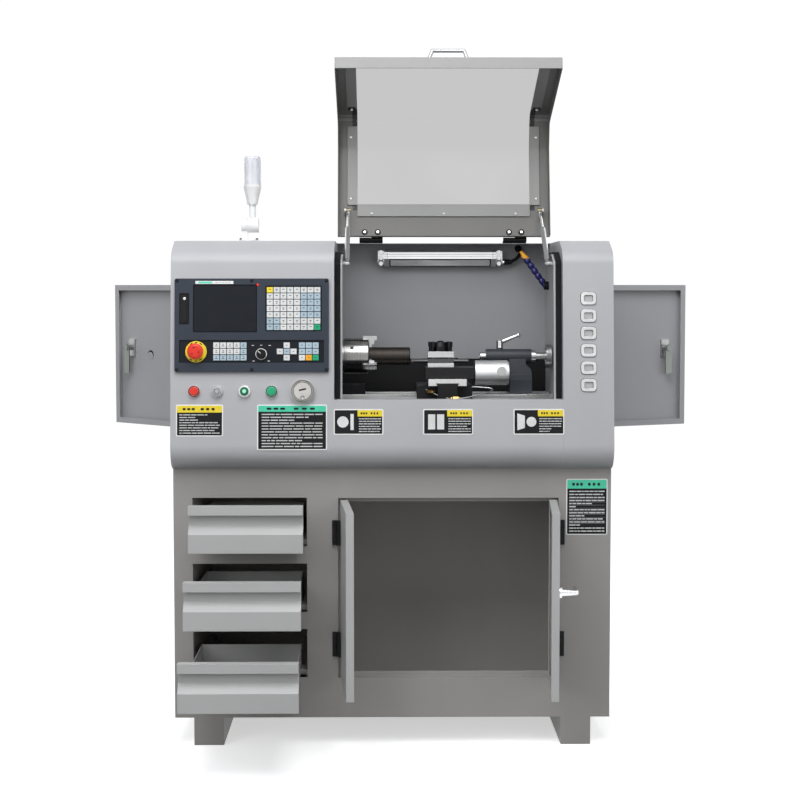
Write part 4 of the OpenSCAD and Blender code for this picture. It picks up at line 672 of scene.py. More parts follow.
CUP_PINS, CUP_PIN_Y = (-0.145, 0.444), -0.256
END_PIN_X, END_PIN_Y, END_FOOT = 0.590, 0.150, 827 * MM
cup_heights = (183 * MM + 92 * MM, 183 * MM + 393 * MM)
end_heights = (END_FOOT + 70 * MM, END_FOOT + 339 * MM)
for name, x in zip(("left_cabinet_door", "right_cabinet_door"), CUP_PINS):
    dress(name, "front", ("hinge", hinge_half((x, CUP_PIN_Y), cup_heights)))


def end_door(opening):
    """The frame of an end door at the left end, opened by an angle in degrees."""
    pin = Matrix.Translation((-END_PIN_X, END_PIN_Y, END_FOOT))
    return pin @ Matrix.Rotation(math.radians(-90 - opening), 4, "Z")


MIRROR = Matrix.Diagonal((-1, 1, 1, 1))
LEFT_END, RIGHT_END = end_door(133), MIRROR @ end_door(115)


def lock_block(place):
    """The block of the cam lock, found in the door's own frame: X away from the pin, Y to the inside."""
    back = place.inverted()

    def rule(center, normal):
        p = back @ center
        return p.y > 0.0082 and abs(p.x - 0.230) < 0.0135 and abs(p.z - 0.2245) < 0.0255
    return rule


for name, x, place in (("left_end_door", -END_PIN_X, LEFT_END), ("right_end_door", END_PIN_X, RIGHT_END)):
    hinge_rule = hinge_half((x, END_PIN_Y), end_heights)
    dress(name, "housing", ("hinge", hinge_rule), ("zinc", lock_block(place)))
print("hood and doors dressed")

# %% [markdown]
# On the panel the rule works in the panel's own plane, where u runs to the right and v up.
# The keys get their colours from their column and row.

# %% Control panel
panel_inverse = PANEL.inverted()
PANEL_THICK, PANEL_RECESS = 10, 4
KEY_PITCH = (17.8, 16.4)
PAD, LEFT_KEYS, ARROW_KEYS, RIGHT_KEYS = (110, 44), (-57, -69), (92, -69), (150, -69)
SCREEN, KNOB, ESTOP = (-70, 44), (25, -76), (-146, -70)
# The recessed fields get the darker film as painted shade in the recesses.
RECESS_SHADE_FIELDS = ((0, -69, 380, 60), (*PAD, 148, 120), (*SCREEN, 168, 126))


def on_panel(center):
    """A point in the panel's plane, in millimetres: right, up and out."""
    p = panel_inverse @ center
    return p.x / MM, p.y / MM, p.z / MM


def within(center, u, v, w, h):
    """Whether a point is in a field of the panel, given by its middle and its size."""
    a, b, out = on_panel(center)
    return abs(a - u) < w / 2 + 0.3 and abs(b - v) < h / 2 + 0.3


def knob_ring(center, normal):
    """The ring round the selector knob."""
    u, v, out = on_panel(center)
    return math.hypot(u - KNOB[0], v - KNOB[1]) < 15.4 and out > 6.2


dress(
    "panel_plate", "film",
    ("display", lambda c, n: within(c, *SCREEN, 165, 123) and on_panel(c)[2] > 6.3),
    ("film_recess_shade", lambda c, n: any(within(c, *field) for field in RECESS_SHADE_FIELDS)),
    ("black", lambda c, n: within(c, -177, 43, 26, 82)),
    ("white", knob_ring),
)


def pad_cell(center):
    """Column and row of a key in the large field, or None."""
    u, v, out = on_panel(center)
    column = round((u - PAD[0]) / KEY_PITCH[0] + 3.5)
    row = round((v - PAD[1]) / KEY_PITCH[1] + 3)
    return (column, row) if v > -20 else None


def field_cell(center, middle):
    """Column and row of a key in a lower field, counted from its middle key."""
    u, v, out = on_panel(center)
    return round((u - middle[0]) / KEY_PITCH[0]), round((v - middle[1]) / KEY_PITCH[1])


def right_cell(center):
    """Column and row of a key in the lower right field, or None in the large field."""
    return None if pad_cell(center) else field_cell(center, RIGHT_KEYS)


def blue_key(center, normal):
    """Keys with blue film: two blocks of the large field, and parts of the three lower fields."""
    cell = pad_cell(center)
    if cell:
        return cell[0] > 4 and 1 < cell[1] < 6 or cell[0] < 2 and cell[1] < 2
    left, arrows, right = [field_cell(center, middle) for middle in (LEFT_KEYS, ARROW_KEYS, RIGHT_KEYS)]
    in_left = abs(left[0]) < 3 and (left[0] == 2 or left[1] == -1)
    in_right = abs(right[0]) < 2 and right[1] > -1
    return in_left or arrows == (0, 0) or in_right


dress(
    "panel_keys", "cream",
    ("yellow", lambda c, n: pad_cell(c) == (0, 6)),
    ("green", lambda c, n: pad_cell(c) == (7, 0) or right_cell(c) == (1, -1)),
    ("orange", lambda c, n: right_cell(c) == (0, -1)),
    ("sky", blue_key),
)
print("panel dressed")

# %% [markdown]
# ## Making small pieces
#
# A small piece is drawn once as points and faces round the origin and set down at each of
# its places. All copies on one body become one mesh that rides on this body.


# %% Makers of meshes
def spun(profile, sides=20):
    """Points and faces of a profile of (radius, height) turned round Z; ends at radius 0 close."""
    points, faces, rings = [], [], []
    for r, h in profile:
        if r < 1e-9:
            rings.append([len(points)])
            points.append(Vector((0, 0, h)))
        else:
            rings.append(range(len(points), len(points) + sides))
            turns = [k * math.tau / sides for k in range(sides)]
            points += [Vector((r * math.cos(a), r * math.sin(a), h)) for a in turns]
    for a, b in zip(rings, rings[1:]):
        for k in range(sides):
            m = (k + 1) % sides
            ring = [a[k % len(a)], a[m % len(a)], b[m % len(b)], b[k % len(b)]]
            faces.append(list(dict.fromkeys(ring)))
    return points, faces


def rounded_outline(w, h, r, steps=5):
    """Points of a rectangle with round corners, anticlockwise."""
    points = []
    for sx, sy, a0 in ((1, 1, 0), (-1, 1, 90), (-1, -1, 180), (1, -1, 270)):
        for k in range(steps + 1):
            a = math.radians(a0 + 90 * k / steps)
            points.append((sx * (w / 2 - r) + r * math.cos(a), sy * (h / 2 - r) + r * math.sin(a)))
    return points


def slab(outline, z0, z1, chamfer=0.0):
    """Points and faces of an outline raised from z0 to z1, with a chamfer at the top."""
    n = len(outline)
    reach = max(max(abs(x), abs(y)) for x, y in outline)
    levels = [(1.0, z0), (1.0, z1 - chamfer)]
    if chamfer:
        levels.append((1 - chamfer / reach, z1))
    points, faces = [], []
    for shrink, z in levels:
        points += [Vector((x * shrink, y * shrink, z)) for x, y in outline]
    for level in range(len(levels) - 1):
        for k in range(n):
            m = (k + 1) % n
            faces.append([level * n + k, level * n + m, (level + 1) * n + m, (level + 1) * n + k])
    faces.append(list(range((len(levels) - 1) * n, len(levels) * n)))
    faces.append(list(range(n - 1, -1, -1)))
    return points, faces


def swept(route, r, sides=10):
    """Points and faces of a tube along a route."""
    points, faces = [], []
    for i, p in enumerate(route):
        d = (Vector(route[min(i + 1, len(route) - 1)]) - Vector(route[max(i - 1, 0)])).normalized()
        side = d.cross(Vector((0.21, 0.34, 0.92))).normalized()
        other = side.cross(d)
        for k in range(sides):
            a = k * math.tau / sides
            points.append(Vector(p) + r * (math.cos(a) * side + math.sin(a) * other))
    for i in range(len(route) - 1):
        for k in range(sides):
            m = (k + 1) % sides
            faces.append([i * sides + k, (i + 1) * sides + k, (i + 1) * sides + m, i * sides + m])
    faces += [list(range(sides)), list(range(len(points) - 1, len(points) - sides - 1, -1))]
    return points, faces


def piece(name, body, batches):
    """One mesh from batches of (shape, matrices, material key), riding on a body."""
    points, faces, numbers, keys = [], [], [], []
    for (shape_points, shape_faces), matrices, key in batches:
        if key not in keys:
            keys.append(key)
        for matrix in matrices:
            base = len(points)
            points += [matrix @ p for p in shape_points]
            faces += [[base + i for i in face] for face in shape_faces]
            numbers += [keys.index(key)] * len(shape_faces)
    mesh = bpy.data.meshes.new(name)
    mesh.from_pydata(points, [], faces)
    for key in keys:
        mesh.materials.append(M[key])
    mesh.polygons.foreach_set("material_index", numbers)
    mesh.validate()
    shell = bmesh.new()
    shell.from_mesh(mesh)
    bmesh.ops.recalc_face_normals(shell, faces=shell.faces)
    shell.to_mesh(mesh)
    shell.free()
    made = bpy.data.objects.new(name, mesh)
    scene.collection.objects.link(made)
    made.modifiers.new("Smooth bends", "NODES").node_group = bends
    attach(made, body)
    print(name, "on", body, len(mesh.polygons), "faces")
    return made


def socket_screw(r, h):
    """A round head with a socket."""
    socket = [(0, h * 0.45), (r * 0.45, h * 0.45), (r * 0.5, h)]
    return spun([*socket, (r * 0.85, h), (r, h * 0.8), (r, 0), (0, 0)])


def hex_nut(r, h):
    """A hexagon with a chamfered top and a bolt end."""
    bolt_end = [(0, h * 1.35), (r * 0.5, h * 1.35), (r * 0.55, h)]
    return spun([*bolt_end, (r * 0.92, h), (r, h * 0.85), (r, 0), (0, 0)], 6)


def rivet(r, h):
    """A flat dome."""
    return spun([(0, h), (r * 0.45, h * 0.95), (r * 0.8, h * 0.65), (r, 0.0), (0, 0)])


print("makers ready")

# %% [markdown]
# ## Fields of print
#
# Six thin plates carry plain fields: a white margin, a dark field, a coloured header and
# rows of short pale bars. The three under the bay also have a plain disc or panels, and the one
# on the stand has thin lines between its rows.


# %% Front plates
def outline_of(corners, size):
    """Corners given in shares of a size, in metres."""
    return [(x * size, y * size) for x, y in corners]


SHAPES = {
    "disc": [[(0.16, -0.34), (0.30, -0.34), (0.30, 0.34), (0.16, 0.34)]],
    "panels": [
        [(-0.34, -0.32), (-0.04, -0.32), (-0.04, 0.32), (-0.34, 0.32)],
        [(0.04, -0.32), (0.34, -0.32), (0.34, 0.32), (0.04, 0.32)],
    ],
    "slant": [[(-0.40, -0.36), (-0.08, -0.26), (-0.08, 0.26), (-0.40, 0.36)]],
}
DISCS = {"disc": (-0.16, 0.0, 0.24), "slant": (0.20, 0.0, 0.21)}
PLATE_THICK, PRINT_THICK, PLATE_MARGIN = 0.0006, 0.0001, 0.003
HEADER_MARKS = (0.16, 0.26, 0.36, 0.56, 0.68, 0.80)


def print_rows(pick, left, width, top, step, rows):
    """Middles and lengths of the bars in the rows of a plate, drawn at random."""
    bars = []
    for row in range(rows):
        y = top - step * (row + 0.9)
        x = left + width * 0.05
        while x < left + width * 0.9:
            length = min(width * pick.uniform(0.05, 0.2), left + width * 0.95 - x)
            bars.append((x + length / 2, y, length))
            x += length + width * 0.014
            if pick.random() < 0.05:
                break
    return bars


def print_plate(name, matrix, w, h, header, share, layout, rows, seed):
    """A plate with a white margin, a dark field, a header over a share of its height and rows of bars."""
    def at(x, y):
        """A place on the plate."""
        return matrix @ Matrix.Translation((x, y, 0))

    def layer(outline, number=1):
        """A thin layer of print, counted from the plate's top."""
        low = PLATE_THICK + number * PRINT_THICK
        return slab(outline, low, low + PRINT_THICK)

    dark_w, dark_h = w - 2 * PLATE_MARGIN, h - 2 * PLATE_MARGIN
    left, width = -dark_w / 2, dark_w
    if layout in SHAPES:
        left, width = -dark_w * 0.02, dark_w * 0.52
    head_h = dark_h * share
    head_y = dark_h / 2 - head_h / 2
    batches = [
        (slab(rounded_outline(w, h, 0.004), 0.0001, PLATE_THICK, 0.0002), [matrix], "white"),
        (layer(rounded_outline(dark_w, dark_h, 0.002), 0), [matrix], "black"),
        (layer(rounded_outline(width, head_h, 0.001)), [at(left + width / 2, head_y)], header),
    ]
    top = dark_h / 2 - head_h
    step = (dark_h - head_h) / (rows + 0.8)
    for x, y, length in print_rows(random.Random(seed), left, width, top, step, rows):
        bar = layer(rounded_outline(length, step * 0.36, step * 0.1, 1))
        batches.append((bar, [at(x, y)], "cream"))
    if layout == "table":
        line = layer(rounded_outline(width * 0.92, 0.0004, 0.0001, 1))
        lines = [at(0, top - step * (row + 0.4)) for row in range(3, rows - 2)]
        batches.append((line, lines, "grey"))
    mark = layer(rounded_outline(width * 0.07, head_h * 0.34, head_h * 0.08, 1), 2)
    batches.append((mark, [at(left + width * s, head_y) for s in HEADER_MARKS], "black"))
    field_x = -dark_w * 0.25
    for corners in SHAPES.get(layout, []):
        batches.append((layer(outline_of(corners, dark_h)), [at(field_x, 0)], "white"))
    if layout in DISCS:
        u, v, r = (s * dark_h for s in DISCS[layout])
        low, high = PLATE_THICK + PRINT_THICK, PLATE_THICK + 2 * PRINT_THICK
        disc = spun([(0, high), (r, high), (r, low), (0, low)], 24)
        batches.append((disc, [at(field_x + u, v)], "white"))
    return piece(name, "machine", batches)


def front_plate(name, x0, x1, z0, z1, header, share, layout, rows, seed):
    """A plate on the leaning front, given by its edges in millimetres."""
    place = on_front((x0 + x1) / 2 * MM, (z0 + z1) / 2 * MM)
    return print_plate(name, place, (x1 - x0) * MM, (z1 - z0) * MM, header, share, layout, rows, seed)


front_plate("plate_left", -569, -445, 838, 922, "yellow", 0.23, "full", 8, 1)
front_plate("plate_wide", -356, -172, 802, 922, "teal", 0.14, "full", 12, 2)
front_plate("plate_bay_left", -155, -24, 842, 910, "yellow", 0.27, "disc", 6, 3)
front_plate("plate_bay_middle", 80, 212, 842, 910, "yellow", 0.27, "panels", 6, 4)
front_plate("plate_bay_right", 318, 452, 842, 910, "yellow", 0.27, "slant", 6, 5)
stand_place = facing_front(0.5195, -0.2501, 0.6435)
print_plate("plate_stand", stand_place, 0.111, 0.151, "teal", 0.16, "table", 14, 6)

# %% [markdown]
# ## The control panel's small pieces
#
# Screw caps, the strip above the screen, dark marks on the keys, the yellow plate of the
# emergency stop, the knob's pointer and scale, and the cover of the port.


# %% Panel pieces
FACE_OUT, STRIP_V = 10.1, 112.5
KEY_TOP = PANEL_THICK - PANEL_RECESS + 0.2 + 3 + 0.02
KNOB_TOP = PANEL_THICK - PANEL_RECESS + 2.4 + 15
ESTOP_TOP = PANEL_THICK - PANEL_RECESS + 1 + 5.4 + 25


def panel_at(u, v, out):
    """A place on the panel, in millimetres."""
    return PANEL @ Matrix.Translation((u * MM, v * MM, out * MM))


def key_at(middle, column, row, up=0.0):
    """A place on top of a key, counted from the middle of its field."""
    return panel_at(middle[0] + column * KEY_PITCH[0], middle[1] + row * KEY_PITCH[1] + up, KEY_TOP)


def arrow_outline(tail, neck, tip, half, head):
    """Corners of an arrow along X: ends of its shaft and its tip, half widths of shaft and head."""
    return [(tail, -half), (neck, -half), (neck, -head), (tip, 0), (neck, head), (neck, half), (tail, half)]


dash = slab(rounded_outline(0.0062, 0.0016, 0.0006, 2), 0, 0.00012)
cap_places = [panel_at(u, v, FACE_OUT) for u in (-196, 0, 196) for v in (-117, 117)]
cap = spun([(0, 0.0018), (0.0036, 0.0018), (0.0046, 0.001), (0.0046, 0), (0, 0)])
piece("panel_caps", "machine", [(cap, cap_places, "black")])

strip = slab(rounded_outline(0.100, 0.008, 0.001, 2), 0, 0.0006)
field = slab(rounded_outline(0.036, 0.0048, 0.0008, 2), 0.0006, 0.0008)
lamp_dot = spun([(0, 0.002), (0.003, 0.0016), (0.004, 0), (0, 0)])
piece(
    "screen_header", "machine",
    [
        (strip, [panel_at(-98, STRIP_V, FACE_OUT)], "white"),
        (field, [panel_at(-122, STRIP_V, FACE_OUT)], "teal"),
        (dash, [panel_at(u, STRIP_V, 10.7) for u in (-92, -84, -76, -68, -60)], "grey"),
        (lamp_dot, [panel_at(16, 106, FACE_OUT)], "red"),
    ],
)

short = slab(rounded_outline(0.0036, 0.0016, 0.0006, 2), 0, 0.00012)
dashes, shorts = [], []
for column in range(8):
    for row in range(7):
        dashes.append(key_at(PAD, column - 3.5, row - 3, 1.5))
        if (column * 3 + row) % 2:
            shorts.append(key_at(PAD, column - 3.5, row - 3, -2.4))
for column in range(-2, 3):
    for row in range(-1, 2):
        dashes.append(key_at(LEFT_KEYS, column, row, -2))
        shorts.append(key_at(LEFT_KEYS, column, row, 2.6))
shorts += [key_at(ARROW_KEYS, *cell) for cell in ((-1, 0), (0, 0), (1, 0), (0, 1), (0, -1))]
shorts += [key_at(RIGHT_KEYS, column, row) for column in (-1, 0, 1) for row in (-1, 0, 1)]
piece("key_marks", "machine", [(dash, dashes, "black"), (short, shorts, "black")])

plate_floor = [(0, 0.0008), (0.016, 0.0008), (0.016, 0.0035)]
plate = spun([*plate_floor, (0.0270, 0.0035), (0.0282, 0.0025), (0.0282, 0.0), (0, 0)], 48)
mark = slab(arrow_outline(-0.004, 0.001, 0.004, 0.0012, 0.0022), 0, 0.0001)
round_marks = []
for degrees in (-32, 0, 32, 148, 180, 212):
    turn = Matrix.Rotation(math.radians(degrees), 4, "Z")
    round_marks.append(panel_at(*ESTOP, 9.75) @ turn @ Matrix.Translation((0, -0.0243, 0)))
piece("estop_plate", "machine", [(plate, [panel_at(*ESTOP, 6.2)], "yellow"), (mark, round_marks, "black")])
arrow = slab(arrow_outline(-0.003, 0.0005, 0.004, 0.0012, 0.003), 0, 0.0003)
turns = [Matrix.Rotation(a, 4, "Z") @ Matrix.Translation((0, 0.010, 0)) for a in (0.3, 2.4, 4.5)]
piece("estop_arrows", "estop", [(arrow, [panel_at(*ESTOP, ESTOP_TOP) @ t for t in turns], "dark_red")])
pointer = slab(rounded_outline(0.0018, 0.009, 0.0008, 2), 0, 0.0003)
aim = Matrix.Rotation(math.radians(45), 4, "Z") @ Matrix.Translation((0, 0.0055, 0))
piece("knob_pointer", "selector", [(pointer, [panel_at(*KNOB, KNOB_TOP) @ aim], "white")])
scale_marks = ((-22, -53), (0, -52.5), (22, -53), (-20, -94), (20, -94))
piece("knob_scale", "machine", [(dash, [panel_at(KNOB[0] + u, v, 6.2) for u, v in scale_marks], "white")])
slot_cover = slab(rounded_outline(0.013, 0.060, 0.003), 0, 0.0016, 0.0005)
pull = spun([(0, 0.006), (0.003, 0.006), (0.004, 0.005), (0.004, 0), (0, 0)])
piece(
    "port_cover", "machine",
    [(slot_cover, [panel_at(-177, 38, 8.5)], "black"), (pull, [panel_at(-176, 70, 8.5)], "chrome")],
)

# %% [markdown]
# ## Buttons and the pulse dial
#
# Rings lie round the caps, the darker ones as painted shade at the rims, the lit cap has a pale lens, the
# white cap a dark ring of painted shade in its groove, and the dial a ring and a mark.

# %% Button rings
BUTTON_ROW_Z = STAND_TOP + 208 * MM
STOP_X, WHITE_X, LIT_X, GREEN_X, DIAL_X = -521, -461, -389, -318, -236
RING_OUT, CAP_OUT, DIAL_OUT = 9.2, 14.92, 20.45
# The dark red, deep green and grey rings are painted shade at the caps' rims; the lit button's white ring is
# its bezel.
RING_COLORS = ((LIT_X, "white"), (WHITE_X, "grey"), (STOP_X, "dark_red"), (GREEN_X, "deep_green"))


def row_at(x, out):
    """A place in the row of buttons, in millimetres."""
    return on_front(x * MM, BUTTON_ROW_Z) @ Matrix.Translation((0, 0, out * MM))


ring = spun([(0.0118, 0.0006), (0.0148, 0.0006), (0.0152, 0.0), (0.0118, 0.0)], 40)
piece("button_rings", "machine", [(ring, [row_at(x, RING_OUT)], key) for x, key in RING_COLORS])
bright = spun([(0, 0.0005), (0.0048, 0.0004), (0.0054, 0.0), (0, 0)], 24)
# A dark ring on the white cap: painted shade in its groove.
groove_shade = spun([(0.0060, 0.0002), (0.0072, 0.0002), (0.0074, 0.0), (0.0058, 0.0)], 32)
piece("lit_lens", "lit_cap", [(bright, [row_at(LIT_X, CAP_OUT)], "lit")])
piece("white_groove_shade", "white_cap", [(groove_shade, [row_at(WHITE_X, CAP_OUT)], "film")])
rim = spun([(0.0232, 0.0002), (0.0246, 0.0002), (0.0248, 0.0), (0.0230, 0.0)], 48)
dial_bar = slab(rounded_outline(0.020, 0.0042, 0.0016, 3), 0, 0.0004)
dial_turn = Matrix.Translation((0, 0.004, 0)) @ Matrix.Rotation(math.radians(12), 4, "Z")
dial_place = row_at(DIAL_X, DIAL_OUT)
piece("dial_face", "dial", [(rim, [dial_place], "black"), (dial_bar, [dial_place @ dial_turn], "black")])

# %% [markdown]
# ## Six bright frames
#
# The right column carries a row of six bright raised frames, all of one kind, each on a thin black frame that
# is a painted shadow round its edges.

# %% Bright frames on the right column
outer = rounded_outline(0.040, 0.033, 0.009, 4)
inner = rounded_outline(0.024, 0.017, 0.004, 4)


def frame_shape(outside, inside, z1):
    """A raised frame between two outlines."""
    n = len(outside)
    points = [Vector((x, y, z)) for loop in (outside, inside) for z in (0.0002, z1) for x, y in loop]
    faces = []
    for k in range(n):
        m = (k + 1) % n
        for low, high in ((0, n), (n, 3 * n), (3 * n, 2 * n)):
            faces.append([low + k, low + m, high + m, high + k])
    return points, faces


FRAME_X, FRAME_FOOT, FRAME_PITCH = 0.517, 946 + 26, 45.6
places = [on_front(FRAME_X, (FRAME_FOOT + FRAME_PITCH * k) * MM) for k in range(6)]
# A thin black frame under each bright one: painted shadow round its edges.
shadow_outline_out = rounded_outline(0.0424, 0.0354, 0.010, 4)
shadow_outline_in = rounded_outline(0.0222, 0.0152, 0.0035, 4)
piece(
    "column_frames", "machine",
    [
        (frame_shape(shadow_outline_out, shadow_outline_in, 0.0009), places, "black"),
        (frame_shape(outer, inner, 0.004), places, "chrome"),
    ],
)

# %% [markdown]
# ## Fasteners
#
# Screws in the hinges and the tower's foot, nuts and clips on the hood, and rivets on the strips
# that hold the pane. The left end door has a blank hanging in its cable hole.

# %% Hinge screws, nuts and rivets
HINGE_LEAF = 0.0112
SCREW_STEPS = (-0.022, 0.022)


def on_hood(x, y, z):
    """A place on the raised hood, given by where it lies when the hood is shut."""
    return HOOD_OPEN @ Matrix.Translation((x, y, z))


screw = socket_screw(0.0032, 0.0016)
fixed_places = []
for x in (CUP_PINS[0] - HINGE_LEAF, CUP_PINS[1] + HINGE_LEAF):
    fixed_places += [facing_front(x, -0.257, z + dz) for z in cup_heights for dz in SCREW_STEPS]
for side in (-1, 1):
    for z in end_heights:
        for dz in SCREW_STEPS:
            spot = (side * 0.591, END_PIN_Y + HINGE_LEAF, z + dz)
            fixed_places.append(placed(spot, (0, side, 0), (0, 0, 1)))
for x in HOOD_HINGES:
    for dx in (-0.020, 0.020):
        fixed_places.append(Matrix.Translation((x + dx, 0.108, HOUSE_TOP + 0.007)))
piece("hinge_screws", "machine", [(screw, fixed_places, "dark_steel")])
tower_places = [Matrix.Translation((-0.397 + dx, -0.010, HOUSE_TOP + 0.0071)) for dx in (-0.0225, 0.0225)]
piece("tower_screws", "machine", [(socket_screw(0.0034, 0.0042), tower_places, "black")])
blank_place = LEFT_END @ placed((0.152, 0.0070, 0.2045), (-1, 0, 0), (0, 0, 1))
shadow = spun([(0, 0.0002), (0.0132, 0.0002), (0.0136, -0.0002), (0, -0.0002)], 32)
blank = spun([(0, 0.0012), (0.0118, 0.0012), (0.0126, 0.0), (0, 0)], 32)
hang = Matrix.Translation((0, -0.0042, 0.0014)) @ Matrix.Rotation(math.radians(5), 4, "X")
piece("cable_blank", "left_end", [(shadow, [blank_place], "black"), (blank, [blank_place @ hang], "housing")])

WASHER_THICK, CLIP_THICK, CLIP_Z = 0.001, 0.0015, 1.254
nut = hex_nut(0.0042, 0.0036)
# A black washer under each nut: a painted shadow ring round the nut.
washer_shadow_ring = spun([(0, WASHER_THICK), (0.0080, WASHER_THICK), (0.0088, 0.0), (0, 0)])
inward = placed((0, 0, 0), (1, 0, 0), (0, -1, 0))
nut_places = [on_hood(x * MM, 0.0712, HOUSE_TOP - 0.002) @ inward for x in (-76, -39, 333, 368)]
raised = Matrix.Translation((0, 0, WASHER_THICK))
head = rivet(0.0042, 0.0022)
strip_z = HOUSE_TOP - 0.0072
rivets = [on_hood(BAY_MIDDLE + dx, 0.0186, strip_z) @ inward for dx in (-0.204, 0, 0.204)]
slope = Matrix.Rotation(HOOD_SLANT, 4, "X")
for x in (BAY_MIDDLE - 0.263, BAY_MIDDLE + 0.263):
    rivets.append(on_hood(x, -0.025, strip_z) @ inward)
    rivets.append(on_hood(x, -0.201, 1.3355) @ slope @ inward)
leaning = Matrix.Rotation(math.radians(90) - LEAN, 4, "X")
clip_y = face_y(CLIP_Z) + 0.0074
clips = [on_hood(BAY_MIDDLE + dx, clip_y, CLIP_Z) @ leaning @ inward for dx in (-0.2595, 0.2595)]
clip = slab(rounded_outline(0.022, 0.016, 0.003, 3), 0, CLIP_THICK, 0.0003)
on_clip = Matrix.Translation((0, 0, CLIP_THICK))
piece(
    "hood_fasteners", "hood",
    [
        (washer_shadow_ring, nut_places, "black"),
        (nut, [p @ raised for p in nut_places], "chrome"),
        (head, rivets, "zinc"),
        (clip, clips, "dark_steel"),
        (nut, [p @ on_clip for p in clips], "chrome"),
    ],
)

# %% [markdown]
# ## The machine in the bay
#
# Clamping bolts with square heads on the tool head, oil pipes with brass unions in front of
# the saddle, a plain disc on the turret's motor, the lamp's window and the glands of its cable.

# %% Tool head bolts and oil pipes
HEAD_X, HEAD_Y = 133.5 * MM, -76 * MM
bolt = slab(rounded_outline(0.0105, 0.0105, 0.0008, 2), 0, 0.0135, 0.001)
head_top = Matrix.Translation((HEAD_X, HEAD_Y, TURRET_TOP + 0.068))
bolt_places = []
for quarter in range(4):
    turn = Matrix.Rotation(math.radians(90 * quarter), 4, "Z")
    spot = Matrix.Translation((HEAD_X, HEAD_Y, TURRET_TOP + 0.055)) @ turn
    twist = Matrix.Rotation(0.4 + quarter, 4, "Z")
    bolt_places += [spot @ Matrix.Translation((dx, -0.027, 0)) @ twist for dx in (-0.022, 0.022)]
piece(
    "tool_head_bolts", "turret",
    [(bolt, bolt_places, "dark_steel"), (hex_nut(0.009, 0.003), [head_top], "dark_steel")],
)

pipe_a = [
    (0.092, -0.112, 0.950), (0.100, -0.118, 0.947), (0.118, -0.128, 0.938),
    (0.140, -0.140, 0.930), (0.158, -0.152, 0.927), (0.176, -0.155, 0.928),
]
pipe_b = [
    (0.176, -0.155, 0.928), (0.188, -0.160, 0.9285), (0.206, -0.156, 0.931), (0.232, -0.145, 0.9365),
    (0.256, -0.132, 0.942), (0.270, -0.123, 0.9462), (0.2755, -0.117, 0.9495), (0.273, -0.112, 0.9525),
    (0.262, -0.109, 0.9548), (0.240, -0.108, 0.9562), (0.2195, -0.1065, 0.9572),
]
union_top = [(0, 0.012), (0.003, 0.012), (0.003, 0.009), (0.0058, 0.008)]
union_foot = [(0.0058, -0.007), (0.0035, -0.009), (0.0035, -0.013), (0, -0.013)]
union = spun(union_top + union_foot, 6)
lie_a = placed((0.105, -0.121, 0.9445), (0, 0, 1), (0.55, 0.84, 0))
lie_b = placed((0.172, -0.155, 0.928), (0, 1, 0), (0, 0, 1))
here = [Matrix.Identity(4)]
piece(
    "oil_pipes", "carriage",
    [
        (swept(pipe_a, 0.0016, 8), here, "zinc"),
        (swept(pipe_b, 0.0015, 8), here, "chrome"),
        (union, [lie_a, lie_b], "brass"),
    ],
)

plate = slab(rounded_outline(0.026, 0.026, 0.012, 6), 0, 0.0006, 0.0002)
on_motor = facing_front(0.300, -0.084 - 0.0341, 1.0)
piece("motor_disc", "slide", [(plate, [on_motor], "zinc")])

lens = slab(rounded_outline(0.286, 0.0185, 0.0015), 0, 0.0016, 0.0004)
rim = slab(rounded_outline(0.2925, 0.0245, 0.002), 0, 0.001, 0.0004)
low, high = Vector((0, 0.157 + 0.014, 1.289)), Vector((0, 0.157, 1.311))
lens_place = placed((-0.021 + 0.1615, (low.y + high.y) / 2, (low.z + high.z) / 2), (1, 0, 0), high - low)
piece(
    "lamp_window", "machine",
    [(rim, [lens_place], "black"), (lens, [lens_place @ Matrix.Translation((0, 0, 0.001))], "milky")],
)
# The lamp's grooves are thin darker strips on its front: painted shade in the grooves, which are not cut.
LAMP_FRONT_Y = 0.1569
line = slab(rounded_outline(0.320, 0.0012, 0.0004, 2), 0, 0.0003)
front_lines = [facing_front(0.1405, LAMP_FRONT_Y, z) for z in (1.3170, 1.3235)]
ends = [facing_front(x, LAMP_FRONT_Y, 1.3205) for x in (-0.0115, 0.2925)]
band = slab(rounded_outline(0.0014, 0.018, 0.0005, 2), 0, 0.0003)
piece("lamp_groove_shade", "machine", [(line, front_lines, "zinc"), (band, ends, "zinc")])
collar = spun([(0.0056, 0.0), (0.0085, 0.0), (0.0085, 0.005), (0.0056, 0.006)], 24)
gland_ribs = [(0.0056, 0.006), (0.0088, 0.006)]
for k in range(5):
    thinner, along = 0.0003 * k, 0.0035 * k
    gland_ribs.append((0.0088 - thinner, 0.0085 + along))
    gland_ribs += [(0.0074 - thinner, 0.0092 + along), (0.0074 - thinner, 0.0102 + along)]
gland_ribs += [(0.0072, 0.027), (0.0057, 0.028)]
to_right = placed((0.3204, 0.175, 1.302), (0, 1, 0), (0, 0, 1))
ball_top = [(0, 0.0105), (0.004, 0.0098), (0.0075, 0.0072), (0.0098, 0.003)]
ball = spun([*ball_top, (0.0100, -0.001), (0.0085, -0.0055), (0.0085, -0.0064)], 24)
to_wall = facing_front(0.3681, 0.1932, 1.341)
piece(
    "lamp_glands", "machine",
    [
        (collar, [to_right], "chrome"),
        (spun(gland_ribs, 24), [to_right], "black"),
        (ball, [to_wall], "rubber"),
    ],
)

# %% [markdown]
# ## The back
#
# The back is plain sheet with two screwed covers with louvres, one behind the drive and one on
# the stand, and with two glands, a capped socket and two rows of screws.

# %% Covers and louvres
BACK_Y, COVER_THICK = 0.2501, 0.0016
LOUVRE_PITCH = (0.078, 0.019)


